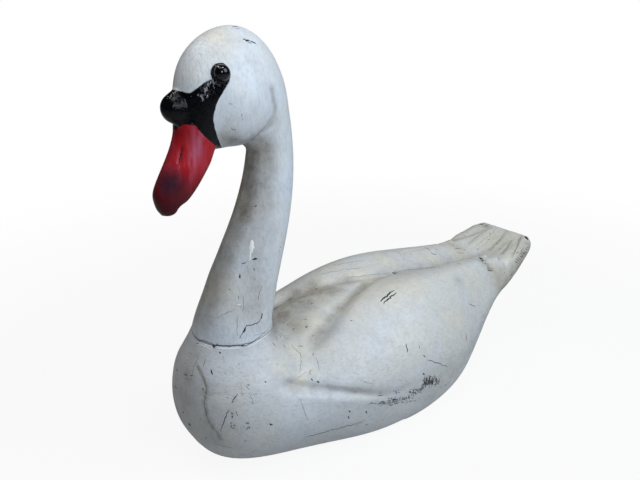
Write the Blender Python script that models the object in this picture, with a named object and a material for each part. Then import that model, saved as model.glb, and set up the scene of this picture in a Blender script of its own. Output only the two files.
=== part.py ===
"""Swan figurine: a carved and painted wooden swan at rest, about life-size decoy scale.

Pieces: the body with folded wings and tail; the neck, head, knob and bill carved in one;
a hidden dowel across the joint at the foot of the neck; two round eyes.
Metres.  The swan faces -Y, its left side is +X, +Z is up, and the flat base lies on Z = 0.
Working heights are measured from the floor and working Y from the neck's centre at the joint;
the finished object is moved along Y to the middle of its length.
"""
import math

import bmesh
import bpy
from mathutils import Matrix, Vector

# Joint at the foot of the neck
JOINT_HEIGHT = 0.1760
JOINT_GAP = 0.0004
JOINT_FRONT = -0.0570
JOINT_BACK = 0.0495
JOINT_HALF_WIDTH = 0.0530

# Hidden dowel across the joint
DOWEL_RADIUS = 0.0100
DOWEL_LENGTH = 0.1100
DOWEL_CLEARANCE = 0.0005
DOWEL_SEGMENTS = 24
DOWEL_CHAMFER = 0.0015

# Eyes
EYE_RADIUS = 0.0100
EYE_CENTRE_X = 0.0385
EYE_CENTRE_Y = -0.0190
EYE_ABOVE_JOINT = 0.3270
EYE_CLEARANCE = 0.0004
EYE_SEGMENTS = 20
EYE_RINGS = 12

# Knob above the bill
KNOB_RADIUS = 0.0180
KNOB_Y = -0.0560
KNOB_ABOVE_JOINT = 0.2890
KNOB_BLEND = 0.0012

# Cheeks
CHEEK_CENTRE_X = 0.0080
CHEEK_CENTRE_Y = 0.0120
CHEEK_ABOVE_JOINT = 0.2940
CHEEK_RADIUS_X = 0.0370
CHEEK_RADIUS_Y = 0.0500
CHEEK_RADIUS_Z = 0.0540
CHEEK_BLEND = 0.0016
HEAD_HEART_Y = -0.0060
HEAD_HEART_ABOVE_JOINT = 0.2920
HEAD_ABOVE_JOINT = 0.2190
BILL_REACH_Y = -0.0200

# Body
BODY_HALF_WIDTH = 0.1460
BASE_EDGE = 0.0040

# Columns of each half ring of the body: back to wing crest, crest to base edge, base
COLUMNS_BACK = 15
COLUMNS_SIDE = 16
COLUMNS_BASE = 3
SIDE_SAMPLES = 60
CREASE_DENSITY = 3.0
CREASE_REACH = 0.0120

# Columns of each half ring of the neck and head
COLUMNS_NECK = 20

# Body outline from the tail's end to the joint: back y, back height, belly y, belly height,
# half width, spans to the next station.  Heights are shares of the joint's height and
# half widths are shares of the body's.
BODY_OUTLINE = (
    (0.5860, 1.009, 0.5860, 0.926, 0.363, 2),
    (0.5800, 0.994, 0.5800, 0.881, 0.416, 2),
    (0.5700, 0.969, 0.5700, 0.824, 0.452, 3),
    (0.5500, 0.923, 0.5500, 0.727, 0.483, 4),
    (0.5250, 0.866, 0.5250, 0.614, 0.517, 3),
    (0.5050, 0.824, 0.5050, 0.517, 0.524, 5),
    (0.4900, 0.818, 0.4900, 0.463, 0.524, 2),
    (0.4650, 0.824, 0.4650, 0.364, 0.551, 2),
    (0.4250, 0.841, 0.4250, 0.213, 0.644, 2),
    (0.3850, 0.869, 0.3850, 0.082, 0.757, 2),
    (0.3400, 0.909, 0.3400, -0.028, 0.877, 2),
    (0.2900, 0.952, 0.2900, -0.045, 0.959, 2),
    (0.2450, 0.989, 0.2450, -0.045, 0.997, 3),
    (0.2000, 1.006, 0.2000, -0.045, 1.000, 3),
    (0.1550, 0.991, 0.1550, -0.045, 0.979, 3),
    (0.1150, 0.940, 0.1150, -0.045, 0.935, 3),
    (0.0840, 0.869, 0.0770, -0.045, 0.894, 2),
    (0.0755, 0.852, 0.0340, -0.040, 0.853, 2),
    (0.0705, 0.849, -0.0050, -0.017, 0.818, 2),
    (0.0665, 0.855, -0.0435, 0.039, 0.777, 2),
    (0.0635, 0.866, -0.0690, 0.134, 0.743, 2),
    (0.0605, 0.881, -0.0810, 0.278, 0.702, 2),
    (0.0580, 0.898, -0.0855, 0.455, 0.644, 2),
    (0.0555, 0.918, -0.0825, 0.631, 0.562, 3),
    (0.0530, 0.943, -0.0755, 0.795, 0.455, 3),
    (0.0507, 0.972, -0.0645, 0.920, 0.386, 2),
    (JOINT_BACK, 1.0, JOINT_FRONT, 1.0, JOINT_HALF_WIDTH / BODY_HALF_WIDTH, 0),
)

# Section of the body at the same stations: height of the widest point (share of the section),
# exponent above it, exponent below it, edge of the base (share of the half width)
BODY_SECTION = (
    (0.60, 4.0, 2.6, 0.55),
    (0.62, 4.0, 2.4, 0.50),
    (0.66, 4.0, 2.2, 0.45),
    (0.70, 4.0, 2.1, 0.40),
    (0.72, 3.8, 2.0, 0.35),
    (0.70, 3.4, 2.0, 0.35),
    (0.65, 3.0, 2.0, 0.35),
    (0.58, 2.7, 2.0, 0.35),
    (0.53, 2.5, 2.0, 0.38),
    (0.49, 2.4, 2.1, 0.47),
    (0.47, 2.4, 2.2, 0.62),
    (0.47, 2.4, 2.2, 0.72),
    (0.48, 2.3, 2.2, 0.74),
    (0.49, 2.15, 2.2, 0.73),
    (0.50, 1.95, 2.15, 0.70),
    (0.52, 1.95, 2.0, 0.63),
    (0.56, 2.0, 1.9, 0.50),
    (0.57, 2.0, 1.85, 0.36),
    (0.57, 2.1, 1.85, 0.28),
    (0.57, 2.1, 1.87, 0.23),
    (0.56, 2.0, 1.90, 0.18),
    (0.54, 2.0, 1.95, 0.12),
    (0.52, 2.0, 2.0, 0.06),
    (0.50, 2.0, 2.0, 0.05),
    (0.50, 2.0, 2.0, 0.05),
    (0.50, 2.0, 2.0, 0.05),
    (0.50, 2.0, 2.0, 0.05),
)

# Folded wings at the same stations: crest (share of the half width), rise of the crest,
# groove beside the mantle, its depth, its width, sharpness of the valley between the wings
BODY_WINGS = (
    (0.85, 0.0010, 0.000, 0.0000, 0.005, 0.2),
    (0.85, 0.0025, 0.000, 0.0000, 0.005, 0.2),
    (0.84, 0.0050, 0.000, 0.0000, 0.005, 0.2),
    (0.83, 0.0080, 0.000, 0.0000, 0.005, 0.3),
    (0.82, 0.0130, 0.000, 0.0000, 0.005, 0.5),
    (0.80, 0.0180, 0.000, 0.0010, 0.005, 0.8),
    (0.73, 0.0200, 0.000, 0.0020, 0.005, 1.0),
    (0.64, 0.0220, 0.000, 0.0035, 0.005, 1.0),
    (0.57, 0.0245, 0.000, 0.0040, 0.005, 1.0),
    (0.54, 0.0255, 0.000, 0.0040, 0.005, 1.0),
    (0.52, 0.0240, 0.000, 0.0040, 0.005, 1.0),
    (0.50, 0.0220, 0.000, 0.0040, 0.006, 0.8),
    (0.50, 0.0165, 0.004, 0.0050, 0.008, 0.4),
    (0.51, 0.0102, 0.019, 0.0080, 0.011, 0.0),
    (0.56, 0.0055, 0.036, 0.0095, 0.013, 0.0),
    (0.60, 0.0045, 0.051, 0.0110, 0.014, 0.0),
    (0.58, 0.0030, 0.061, 0.0065, 0.013, 0.0),
    (0.56, 0.0020, 0.066, 0.0020, 0.013, 0.0),
    (0.54, 0.0010, 0.066, 0.0000, 0.013, 0.0),
    (0.52, 0.0005, 0.060, 0.0000, 0.013, 0.0),
    (0.52, 0.0000, 0.054, 0.0000, 0.013, 0.0),
    (0.52, 0.0000, 0.050, 0.0000, 0.013, 0.0),
    (0.52, 0.0000, 0.046, 0.0000, 0.013, 0.0),
    (0.52, 0.0000, 0.042, 0.0000, 0.013, 0.0),
    (0.52, 0.0000, 0.038, 0.0000, 0.013, 0.0),
    (0.52, 0.0000, 0.034, 0.0000, 0.013, 0.0),
    (0.52, 0.0000, 0.032, 0.0000, 0.013, 0.0),
)

# Carved end of the folded wings above the tail
WING_END_Y = 0.4960
WING_END_SLOPE = 0.0020
WING_END_DROP = 0.0065
WING_END_RECOVERY = 0.0320
WING_NOTCH_INNER = 0.0300
WING_NOTCH_OUTER = 0.0470
WING_NOTCH_LENGTH = 0.0090

# Tail feathers: a groove every few columns, fading in behind the wings
COLUMNS_PER_FEATHER = 4
COLUMNS_BEFORE_FEATHERS = 2
FEATHER_DEPTH = 0.0016
FEATHER_START_Y = 0.5080
FEATHER_FULL_Y = 0.5350

# Lower edge of the wing on each flank
CREASE_FRONT_Y = 0.0080
CREASE_FRONT_SHARE = 0.716
CREASE_REAR_Y = 0.1550
CREASE_REAR_SHARE = 0.432
CREASE_DEPTH = 0.0070
CREASE_WIDTH = 0.0075
CREASE_RIDGE = 0.0030
CREASE_START = 0.0140
CREASE_FADE_FRONT = 0.0800
CREASE_FADE_REAR = 0.2200

# Neck stations: centre y, centre height above the joint, radius, tilt in degrees
NECK_STATIONS = (
    (-0.0025, 0.0090, 0.0515, 2.0),
    (0.0025, 0.0240, 0.0495, 6.0),
    (0.0087, 0.0400, 0.0472, 10.0),
    (0.0158, 0.0610, 0.0448, 14.0),
    (0.0242, 0.0810, 0.0424, 17.0),
    (0.0327, 0.1020, 0.0402, 19.0),
    (0.0407, 0.1220, 0.0382, 19.0),
    (0.0477, 0.1420, 0.0363, 18.0),
    (0.0538, 0.1630, 0.0345, 15.0),
    (0.0584, 0.1830, 0.0328, 11.0),
    (0.0616, 0.2030, 0.0312, 6.0),
    (0.0632, 0.2210, 0.0300, -2.0),
)
NECK_SPANS = 2

# Head and bill stations: back y, back height, throat y, throat height (above the joint),
# half width, widest (share of height), upper exponent, lower exponent, spans to the next station
HEAD_STATIONS = (
    (0.0919, 0.2390, 0.0346, 0.2275, 0.0298, 0.50, 2.0, 2.0, 2),
    (0.0904, 0.2580, 0.0308, 0.2330, 0.0305, 0.50, 2.0, 2.0, 2),
    (0.0870, 0.2800, 0.0265, 0.2365, 0.0318, 0.50, 2.0, 2.0, 2),
    (0.0832, 0.3030, 0.0225, 0.2385, 0.0338, 0.50, 2.0, 2.0, 2),
    (0.0754, 0.3258, 0.0175, 0.2390, 0.0363, 0.50, 2.0, 2.0, 2),
    (0.0626, 0.3476, 0.0115, 0.2385, 0.0385, 0.52, 2.0, 2.0, 2),
    (0.0432, 0.3658, 0.0055, 0.2380, 0.0395, 0.54, 2.0, 2.0, 2),
    (0.0190, 0.3740, -0.0005, 0.2380, 0.0395, 0.55, 2.0, 2.0, 2),
    (-0.0085, 0.3695, -0.0055, 0.2375, 0.0385, 0.56, 2.0, 2.0, 2),
    (-0.0315, 0.3555, -0.0100, 0.2375, 0.0365, 0.56, 2.0, 2.0, 2),
    (-0.0468, 0.3365, -0.0140, 0.2375, 0.0335, 0.55, 2.0, 2.0, 2),
    (-0.0543, 0.3150, -0.0165, 0.2370, 0.0298, 0.52, 2.0, 2.1, 4),
    (-0.0565, 0.2945, -0.0185, 0.2350, 0.0268, 0.50, 2.0, 2.3, 5),
    (-0.0590, 0.2770, -0.0210, 0.2310, 0.0250, 0.46, 2.0, 2.5, 3),
    (-0.0612, 0.2600, -0.0250, 0.2235, 0.0235, 0.42, 2.0, 2.6, 2),
    (-0.0685, 0.2420, -0.0322, 0.2130, 0.0225, 0.40, 2.0, 2.6, 2),
    (-0.0785, 0.2240, -0.0412, 0.2010, 0.0218, 0.38, 2.0, 2.6, 2),
    (-0.0870, 0.2090, -0.0507, 0.1900, 0.0210, 0.38, 2.0, 2.5, 2),
    (-0.0925, 0.1960, -0.0595, 0.1815, 0.0195, 0.40, 2.0, 2.4, 2),
    (-0.0916, 0.1845, -0.0660, 0.1745, 0.0160, 0.45, 2.0, 2.2, 2),
    (-0.0890, 0.1760, -0.0700, 0.1715, 0.0120, 0.50, 2.0, 2.0, 2),
    (-0.0845, 0.1702, -0.0750, 0.1697, 0.0065, 0.50, 2.0, 2.0, 0),
)


def clear_scene():
    for item in list(bpy.data.objects):
        bpy.data.objects.remove(item, do_unlink=True)


def make_collection(name):
    group = bpy.data.collections.new(name)
    bpy.context.scene.collection.children.link(group)
    return group


def make_material(name, colour, roughness, metallic=0.0):
    material = bpy.data.materials.new(name)
    material.use_nodes = True
    shader = material.node_tree.nodes["Principled BSDF"]
    shader.inputs["Base Color"].default_value = (*colour, 1.0)
    shader.inputs["Roughness"].default_value = roughness
    shader.inputs["Metallic"].default_value = metallic
    return material


def spline(stations, spans):
    """Smooth rows through the stations: Catmull-Rom on the distance between them."""
    distance = [0.0]
    for before, after in zip(stations, stations[1:]):
        step = math.dist(before[:4], after[:4])
        distance.append(distance[-1] + max(step, 0.002))
    count = len(stations)
    slopes = []
    for index in range(count):
        low = max(index - 1, 0)
        high = min(index + 1, count - 1)
        reach = distance[high] - distance[low]
        slopes.append([(b - a) / reach for a, b in zip(stations[low], stations[high])])
    rows = []
    for index in range(count - 1):
        reach = distance[index + 1] - distance[index]
        for part in range(spans[index]):
            t = part / spans[index]
            h00 = 2 * t ** 3 - 3 * t ** 2 + 1
            h10 = t ** 3 - 2 * t ** 2 + t
            h01 = -2 * t ** 3 + 3 * t ** 2
            h11 = t ** 3 - t ** 2
            row = []
            for a, b, sa, sb in zip(stations[index], stations[index + 1], slopes[index], slopes[index + 1]):
                row.append(h00 * a + h10 * reach * sa + h01 * b + h11 * reach * sb)
            rows.append(row)
    rows.append(list(stations[-1]))
    return rows


def step_up(value):
    """Smooth step from 0 at value 0 to 1 at value 1."""
    value = min(max(value, 0.0), 1.0)
    return value * value * (3.0 - 2.0 * value)


def power(value, exponent):
    return max(value, 0.0) ** exponent


def body_half_section(row):
    """Points (x, height along the section) from the back's centre to the belly's centre."""
    back_y, back_z, belly_y, belly_z, half = row[:5]
    widest, upper, lower, base = row[5:9]
    crest, lift, groove_x, drop, groove_width, sharp = row[9:15]
    length = math.hypot(back_y - belly_y, back_z - belly_z)
    middle = widest * length
    crest_x = crest * half

    def top(x):
        height = middle + (length - middle) * power(1.0 - power(x / half, upper), 1.0 / upper)
        if x < crest_x:
            share = math.sin(0.5 * math.pi * x / crest_x)
            ramp = sharp * share + (1.0 - sharp) * share * share
        else:
            ramp = math.cos(0.5 * math.pi * (x - crest_x) / (half - crest_x)) ** 2
        return height + lift * ramp - drop * math.exp(-((x - groove_x) / groove_width) ** 2)

    points = []
    for index in range(COLUMNS_BACK + 1):
        x = crest_x * index / COLUMNS_BACK
        points.append((x, top(x)))
    side = []
    start = math.asin(min(power(crest_x / half, upper / 2.0), 1.0))
    for index in range(SIDE_SAMPLES):
        angle = start + (0.5 * math.pi - start) * index / SIDE_SAMPLES
        x = half * math.sin(angle) ** (2.0 / upper)
        side.append((x, top(x)))
    edge = base * half
    for index in range(SIDE_SAMPLES + 1):
        angle = 0.5 * math.pi * index / SIDE_SAMPLES
        x = edge + (half - edge) * power(math.cos(angle), 2.0 / lower)
        side.append((x, middle * (1.0 - math.sin(angle) ** (2.0 / lower))))
    points += spread_side(row, side)
    for index in range(1, COLUMNS_BASE + 1):
        points.append((edge * (1.0 - index / COLUMNS_BASE), 0.0))
    return points


def crease_offset(y, z):
    """Height above the lower edge of the wing at this place along the body."""
    along = (y - CREASE_FRONT_Y) / (CREASE_REAR_Y - CREASE_FRONT_Y)
    along = min(max(along, -0.1), 1.0)
    share = CREASE_FRONT_SHARE + (CREASE_REAR_SHARE - CREASE_FRONT_SHARE) * along
    return z - JOINT_HEIGHT * share


def spread_side(row, side):
    """Columns from the wing's crest to the base's edge, closer together at the wing's edge."""
    back_y, back_z, belly_y, belly_z = row[:4]
    length = math.hypot(back_y - belly_y, back_z - belly_z)
    run = [0.0]
    for before, after in zip(side, side[1:]):
        share = 0.5 * (before[1] + after[1]) / length
        y = belly_y + (back_y - belly_y) * share
        z = belly_z + (back_z - belly_z) * share
        near = math.exp(-(crease_offset(y, z) / CREASE_REACH) ** 2)
        step = math.dist(before, after) * (1.0 + CREASE_DENSITY * near)
        run.append(run[-1] + step)
    points = []
    place = 0
    for index in range(1, COLUMNS_SIDE + 1):
        goal = run[-1] * index / COLUMNS_SIDE
        while place < len(run) - 2 and run[place + 1] < goal:
            place += 1
        part = (goal - run[place]) / max(run[place + 1] - run[place], 1e-9)
        part = min(max(part, 0.0), 1.0)
        before = side[place]
        after = side[place + 1]
        x = before[0] + (after[0] - before[0]) * part
        height = before[1] + (after[1] - before[1]) * part
        points.append((x, height))
    return points


def neck_half_section(row):
    back_y, back_z, throat_y, throat_z, half, widest, upper, lower = row[:8]
    length = math.hypot(back_y - throat_y, back_z - throat_z)
    middle = widest * length
    points = []
    for index in range(COLUMNS_NECK + 1):
        angle = math.pi * index / COLUMNS_NECK
        if angle <= 0.5 * math.pi:
            x = half * power(math.sin(angle), 2.0 / upper)
            height = middle + (length - middle) * power(math.cos(angle), 2.0 / upper)
        else:
            x = half * power(math.sin(angle), 2.0 / lower)
            height = middle * (1.0 - power(-math.cos(angle), 2.0 / lower))
        points.append((x, height))
    points[0] = (0.0, points[0][1])
    points[-1] = (0.0, points[-1][1])
    return points


def ring_from_half(row, half_points):
    """Whole ring in space: down the left side from the back, up the right side."""
    back = Vector((0.0, row[0], row[1]))
    belly = Vector((0.0, row[2], row[3]))
    up = (back - belly).normalized()
    left = [belly + up * height + Vector((x, 0.0, 0.0)) for x, height in half_points]
    right = [Vector((-point.x, point.y, point.z)) for point in reversed(left[1:-1])]
    return left + right


def carve_wing_end(point):
    """Drop behind the wing ends, healed again toward the tail's edge."""
    side = abs(point.x)
    notch = step_up((side - WING_NOTCH_INNER) / 0.002) * step_up((WING_NOTCH_OUTER - side) / 0.002)
    edge = WING_END_Y - WING_NOTCH_LENGTH * notch
    behind = point.y - edge
    if behind <= 0.0:
        return 0.0
    fall = step_up(behind / WING_END_SLOPE)
    heal = step_up((point.y - WING_END_Y) / WING_END_RECOVERY)
    spread = 0.45 + 0.55 * step_up(side / 0.03)
    return WING_END_DROP * spread * fall * (1.0 - heal)


def carve_feathers(point, column):
    """Shallow overlapping feathers that fan out over the tail."""
    if column > COLUMNS_BACK or column < COLUMNS_BEFORE_FEATHERS - 1:
        return 0.0
    place = (column - COLUMNS_BEFORE_FEATHERS) % COLUMNS_PER_FEATHER
    strength = step_up((point.y - FEATHER_START_Y) / (FEATHER_FULL_Y - FEATHER_START_Y))
    shape = (1.0, 0.4, 0.0, -0.25)
    return FEATHER_DEPTH * strength * shape[place]


def carve_crease(point):
    """Sideways cut along the wing's lower edge and the ridge below it."""
    offset = crease_offset(point.y, point.z)
    front = step_up((point.y - CREASE_FRONT_Y + 0.3 * CREASE_START) / CREASE_START)
    rear = step_up((CREASE_FADE_REAR - point.y) / (CREASE_FADE_REAR - CREASE_FADE_FRONT))
    cut_depth = CREASE_DEPTH * math.exp(-(offset / CREASE_WIDTH) ** 2)
    ridge = CREASE_RIDGE * math.exp(-((offset + 2.2 * CREASE_WIDTH) / (1.3 * CREASE_WIDTH)) ** 2)
    return front * rear * (cut_depth - ridge)


def carve_body(point, index, count):
    column = min(index, count - index)
    lowered = Vector(point)
    if column <= COLUMNS_BACK + 4 and point.y > WING_END_Y - 0.03:
        fade = step_up((COLUMNS_BACK + 4 - column) / 4.0)
        lowered.z -= carve_wing_end(point) * fade + carve_feathers(point, column)
    if column > COLUMNS_BACK - 2 and CREASE_FRONT_Y - CREASE_START < point.y < CREASE_FADE_REAR:
        lowered.x -= math.copysign(carve_crease(point), point.x)
    return lowered


def rest_on_base(point):
    """Flatten what reaches below the floor, with a rounded edge."""
    if point.z >= BASE_EDGE:
        return point
    if point.z <= -BASE_EDGE:
        return Vector((point.x, point.y, 0.0))
    return Vector((point.x, point.y, (point.z + BASE_EDGE) ** 2 / (4.0 * BASE_EDGE)))


def add_ring(mesh, ring):
    return [mesh.verts.new(point) for point in ring]


def bridge(mesh, first, second):
    count = len(first)
    for index in range(count):
        following = (index + 1) % count
        mesh.faces.new((first[index], first[following], second[following], second[index]))


def fill_across(mesh, ring):
    """Close a mirrored, rounded ring with faces that run from side to side."""
    count = len(ring)
    for index in range(count // 2):
        corners = []
        for place in (index, index + 1, count - index - 1, count - index):
            corner = ring[place % count]
            if corner not in corners:
                corners.append(corner)
        mesh.faces.new(corners)


def fill_to_point(mesh, ring, point, flip):
    tip = mesh.verts.new(point)
    count = len(ring)
    for index in range(count):
        corners = [ring[index], ring[(index + 1) % count], tip]
        if flip:
            corners.reverse()
        mesh.faces.new(corners)


def circle(count, radius, height):
    """A round ring about the dowel's axis, numbered like the rings of the body and the neck."""
    points = []
    for index in range(count):
        angle = 2.0 * math.pi * index / count
        points.append(Vector((radius * math.sin(angle), radius * math.cos(angle), height)))
    return points


def finish_object(mesh, name, group, material, shift):
    bmesh.ops.recalc_face_normals(mesh, faces=mesh.faces)
    data = bpy.data.meshes.new(name)
    mesh.to_mesh(data)
    mesh.free()
    for vertex in data.vertices:
        vertex.co.y += shift
    data.materials.append(material)
    for face in data.polygons:
        face.use_smooth = True
    item = bpy.data.objects.new(name, data)
    group.objects.link(item)
    return item


def make_body():
    spans = [outline[5] for outline in BODY_OUTLINE]
    stations = []
    for outline, section, wings in zip(BODY_OUTLINE, BODY_SECTION, BODY_WINGS):
        back_y, back_share, belly_y, belly_share, width_share = outline[:5]
        back = (back_y, JOINT_HEIGHT * back_share)
        belly = (belly_y, JOINT_HEIGHT * belly_share)
        stations.append(back + belly + (BODY_HALF_WIDTH * width_share,) + section + wings)
    rows = spline(stations, spans)
    rings = []
    for row in rows:
        ring = ring_from_half(row, body_half_section(row))
        ring = [carve_body(point, index, len(ring)) for index, point in enumerate(ring)]
        rings.append([rest_on_base(point) for point in ring])
    mesh = bmesh.new()
    placed = [add_ring(mesh, ring) for ring in rings]
    for first, second in zip(placed, placed[1:]):
        bridge(mesh, first, second)
    mesh.faces.new(placed[0])
    reach = DOWEL_RADIUS + DOWEL_CLEARANCE
    depth = JOINT_HEIGHT - 0.5 * DOWEL_LENGTH - 2.0 * DOWEL_CLEARANCE
    rim = add_ring(mesh, circle(len(rings[-1]), reach, JOINT_HEIGHT))
    floor = add_ring(mesh, circle(len(rings[-1]), reach, depth))
    bridge(mesh, placed[-1], rim)
    bridge(mesh, rim, floor)
    fill_to_point(mesh, floor, Vector((0.0, 0.0, depth)), False)
    return mesh


def push_out(point, heart, centre, radii, blend):
    """Move a point outward from the heart to a smooth union with an ellipsoid."""
    direction = point - heart
    own = direction.length
    if own < 1e-6:
        return point
    direction = direction / own
    offset = heart - centre
    a = sum((direction[k] / radii[k]) ** 2 for k in range(3))
    b = sum(direction[k] * offset[k] / radii[k] ** 2 for k in range(3))
    c = sum((offset[k] / radii[k]) ** 2 for k in range(3)) - 1.0
    inside = b * b - a * c
    if inside <= 0.0:
        return point
    other = (-b + math.sqrt(inside)) / a
    gap = (own - other) / blend
    if gap > 4.0:
        return point
    if gap < -4.0:
        return heart + direction * other
    share = 0.125 * (gap + 4.0)
    reach = other + (own - other) * share + 4.0 * blend * share * (1.0 - share) * 0.5
    return heart + direction * max(reach, own)


def shape_head(point):
    if point.z < JOINT_HEIGHT + HEAD_ABOVE_JOINT and point.y > BILL_REACH_Y:
        return point
    heart = Vector((0.0, HEAD_HEART_Y, JOINT_HEIGHT + HEAD_HEART_ABOVE_JOINT))
    side = 1.0 if point.x >= 0.0 else -1.0
    centre = Vector((side * CHEEK_CENTRE_X, CHEEK_CENTRE_Y, JOINT_HEIGHT + CHEEK_ABOVE_JOINT))
    radii = (CHEEK_RADIUS_X, CHEEK_RADIUS_Y, CHEEK_RADIUS_Z)
    moved = push_out(point, heart, centre, radii, CHEEK_BLEND)
    knob = Vector((0.0, KNOB_Y, JOINT_HEIGHT + KNOB_ABOVE_JOINT))
    moved = push_out(moved, heart, knob, (KNOB_RADIUS, KNOB_RADIUS, KNOB_RADIUS), KNOB_BLEND)
    if abs(point.x) < 1e-9:
        moved.x = 0.0
    return moved


def neck_rows():
    bottom = JOINT_HEIGHT + JOINT_GAP
    stations = [(JOINT_BACK, bottom, JOINT_FRONT, bottom, JOINT_HALF_WIDTH, 0.5, 2.0, 2.0)]
    spans = [1]
    for y, height, radius, tilt in NECK_STATIONS:
        z = JOINT_HEIGHT + height
        side = radius * math.cos(math.radians(tilt))
        fall = radius * math.sin(math.radians(tilt))
        stations.append((y + side, z - fall, y - side, z + fall, radius, 0.5, 2.0, 2.0))
        spans.append(NECK_SPANS)
    for row in HEAD_STATIONS:
        back = (row[0], JOINT_HEIGHT + row[1])
        throat = (row[2], JOINT_HEIGHT + row[3])
        stations.append(back + throat + row[4:8])
        spans.append(row[8])
    return spline(stations, spans)


def make_neck_and_head():
    rings = []
    for row in neck_rows():
        ring = ring_from_half(row, neck_half_section(row))
        rings.append([shape_head(point) for point in ring])
    mesh = bmesh.new()
    placed = [add_ring(mesh, ring) for ring in rings]
    for first, second in zip(placed, placed[1:]):
        bridge(mesh, first, second)
    fill_across(mesh, placed[-1])
    reach = DOWEL_RADIUS + DOWEL_CLEARANCE
    low = JOINT_HEIGHT + JOINT_GAP
    high = JOINT_HEIGHT + 0.5 * DOWEL_LENGTH + 2.0 * DOWEL_CLEARANCE
    rim = add_ring(mesh, circle(len(rings[0]), reach, low))
    roof = add_ring(mesh, circle(len(rings[0]), reach, high))
    bridge(mesh, rim, placed[0])
    bridge(mesh, roof, rim)
    fill_to_point(mesh, roof, Vector((0.0, 0.0, high)), True)
    return mesh


def make_dowel():
    half = 0.5 * DOWEL_LENGTH
    profile = (
        (DOWEL_RADIUS - DOWEL_CHAMFER, -half),
        (DOWEL_RADIUS, -half + DOWEL_CHAMFER),
        (DOWEL_RADIUS, half - DOWEL_CHAMFER),
        (DOWEL_RADIUS - DOWEL_CHAMFER, half),
    )
    mesh = bmesh.new()
    rings = []
    for radius, height in profile:
        ring = []
        for index in range(DOWEL_SEGMENTS):
            angle = 2.0 * math.pi * index / DOWEL_SEGMENTS
            x = radius * math.sin(angle)
            y = radius * math.cos(angle)
            ring.append(mesh.verts.new((x, y, JOINT_HEIGHT + height)))
        rings.append(ring)
    for first, second in zip(rings, rings[1:]):
        bridge(mesh, first, second)
    mesh.faces.new(rings[0])
    mesh.faces.new(rings[-1])
    return mesh


def make_eye(side, radius, segments, rings):
    mesh = bmesh.new()
    bmesh.ops.create_uvsphere(mesh, u_segments=segments, v_segments=rings, radius=radius)
    bmesh.ops.rotate(mesh, verts=mesh.verts, cent=(0, 0, 0), matrix=turn_to_side(side))
    place = Vector((side * EYE_CENTRE_X, EYE_CENTRE_Y, JOINT_HEIGHT + EYE_ABOVE_JOINT))
    bmesh.ops.translate(mesh, verts=mesh.verts, vec=place)
    return mesh


def turn_to_side(side):
    return Matrix.Rotation(side * 0.5 * math.pi, 3, "Y")


def cut(target, tool):
    modifier = target.modifiers.new("socket", "BOOLEAN")
    modifier.operation = "DIFFERENCE"
    modifier.solver = "EXACT"
    modifier.object = tool


def main():
    clear_scene()
    group = make_collection("swan_figurine")
    tools = make_collection("cutters")
    tools.hide_render = True
    white = make_material("aged_white_paint", (0.78, 0.79, 0.80), 0.45)
    white_neck = make_material("aged_white_paint_neck", (0.78, 0.79, 0.80), 0.45)
    wood = make_material("bare_wood", (0.45, 0.30, 0.17), 0.70)
    left_black = make_material("gloss_black_left_eye", (0.01, 0.01, 0.012), 0.10)
    right_black = make_material("gloss_black_right_eye", (0.01, 0.01, 0.012), 0.10)

    body_mesh = make_body()
    head_mesh = make_neck_and_head()
    reach = [vertex.co.y for vertex in body_mesh.verts] + [vertex.co.y for vertex in head_mesh.verts]
    shift = -0.5 * (min(reach) + max(reach))
    finish_object(body_mesh, "body", group, white, shift)
    head = finish_object(head_mesh, "neck_and_head", group, white_neck, shift)
    finish_object(make_dowel(), "neck_dowel", group, wood, shift)
    eyes = ((1.0, "left_eye", left_black), (-1.0, "right_eye", right_black))
    for side, name, material in eyes:
        finish_object(make_eye(side, EYE_RADIUS, EYE_SEGMENTS, EYE_RINGS), name, group, material, shift)
        socket_mesh = make_eye(side, EYE_RADIUS + EYE_CLEARANCE, EYE_SEGMENTS, EYE_RINGS)
        socket = finish_object(socket_mesh, name + "_socket", tools, material, shift)
        socket.hide_render = True
        socket.display_type = "WIRE"
        cut(head, socket)


main()
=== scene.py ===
"""Looks of a carved and painted wooden swan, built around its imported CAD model.

The swan faces -Y, its left side is +X and it stands on Z = 0.  All lengths are in metres.
"""
import math

import bpy
import numpy as np
from mathutils import Matrix, Vector
from mathutils.bvhtree import BVHTree


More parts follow.
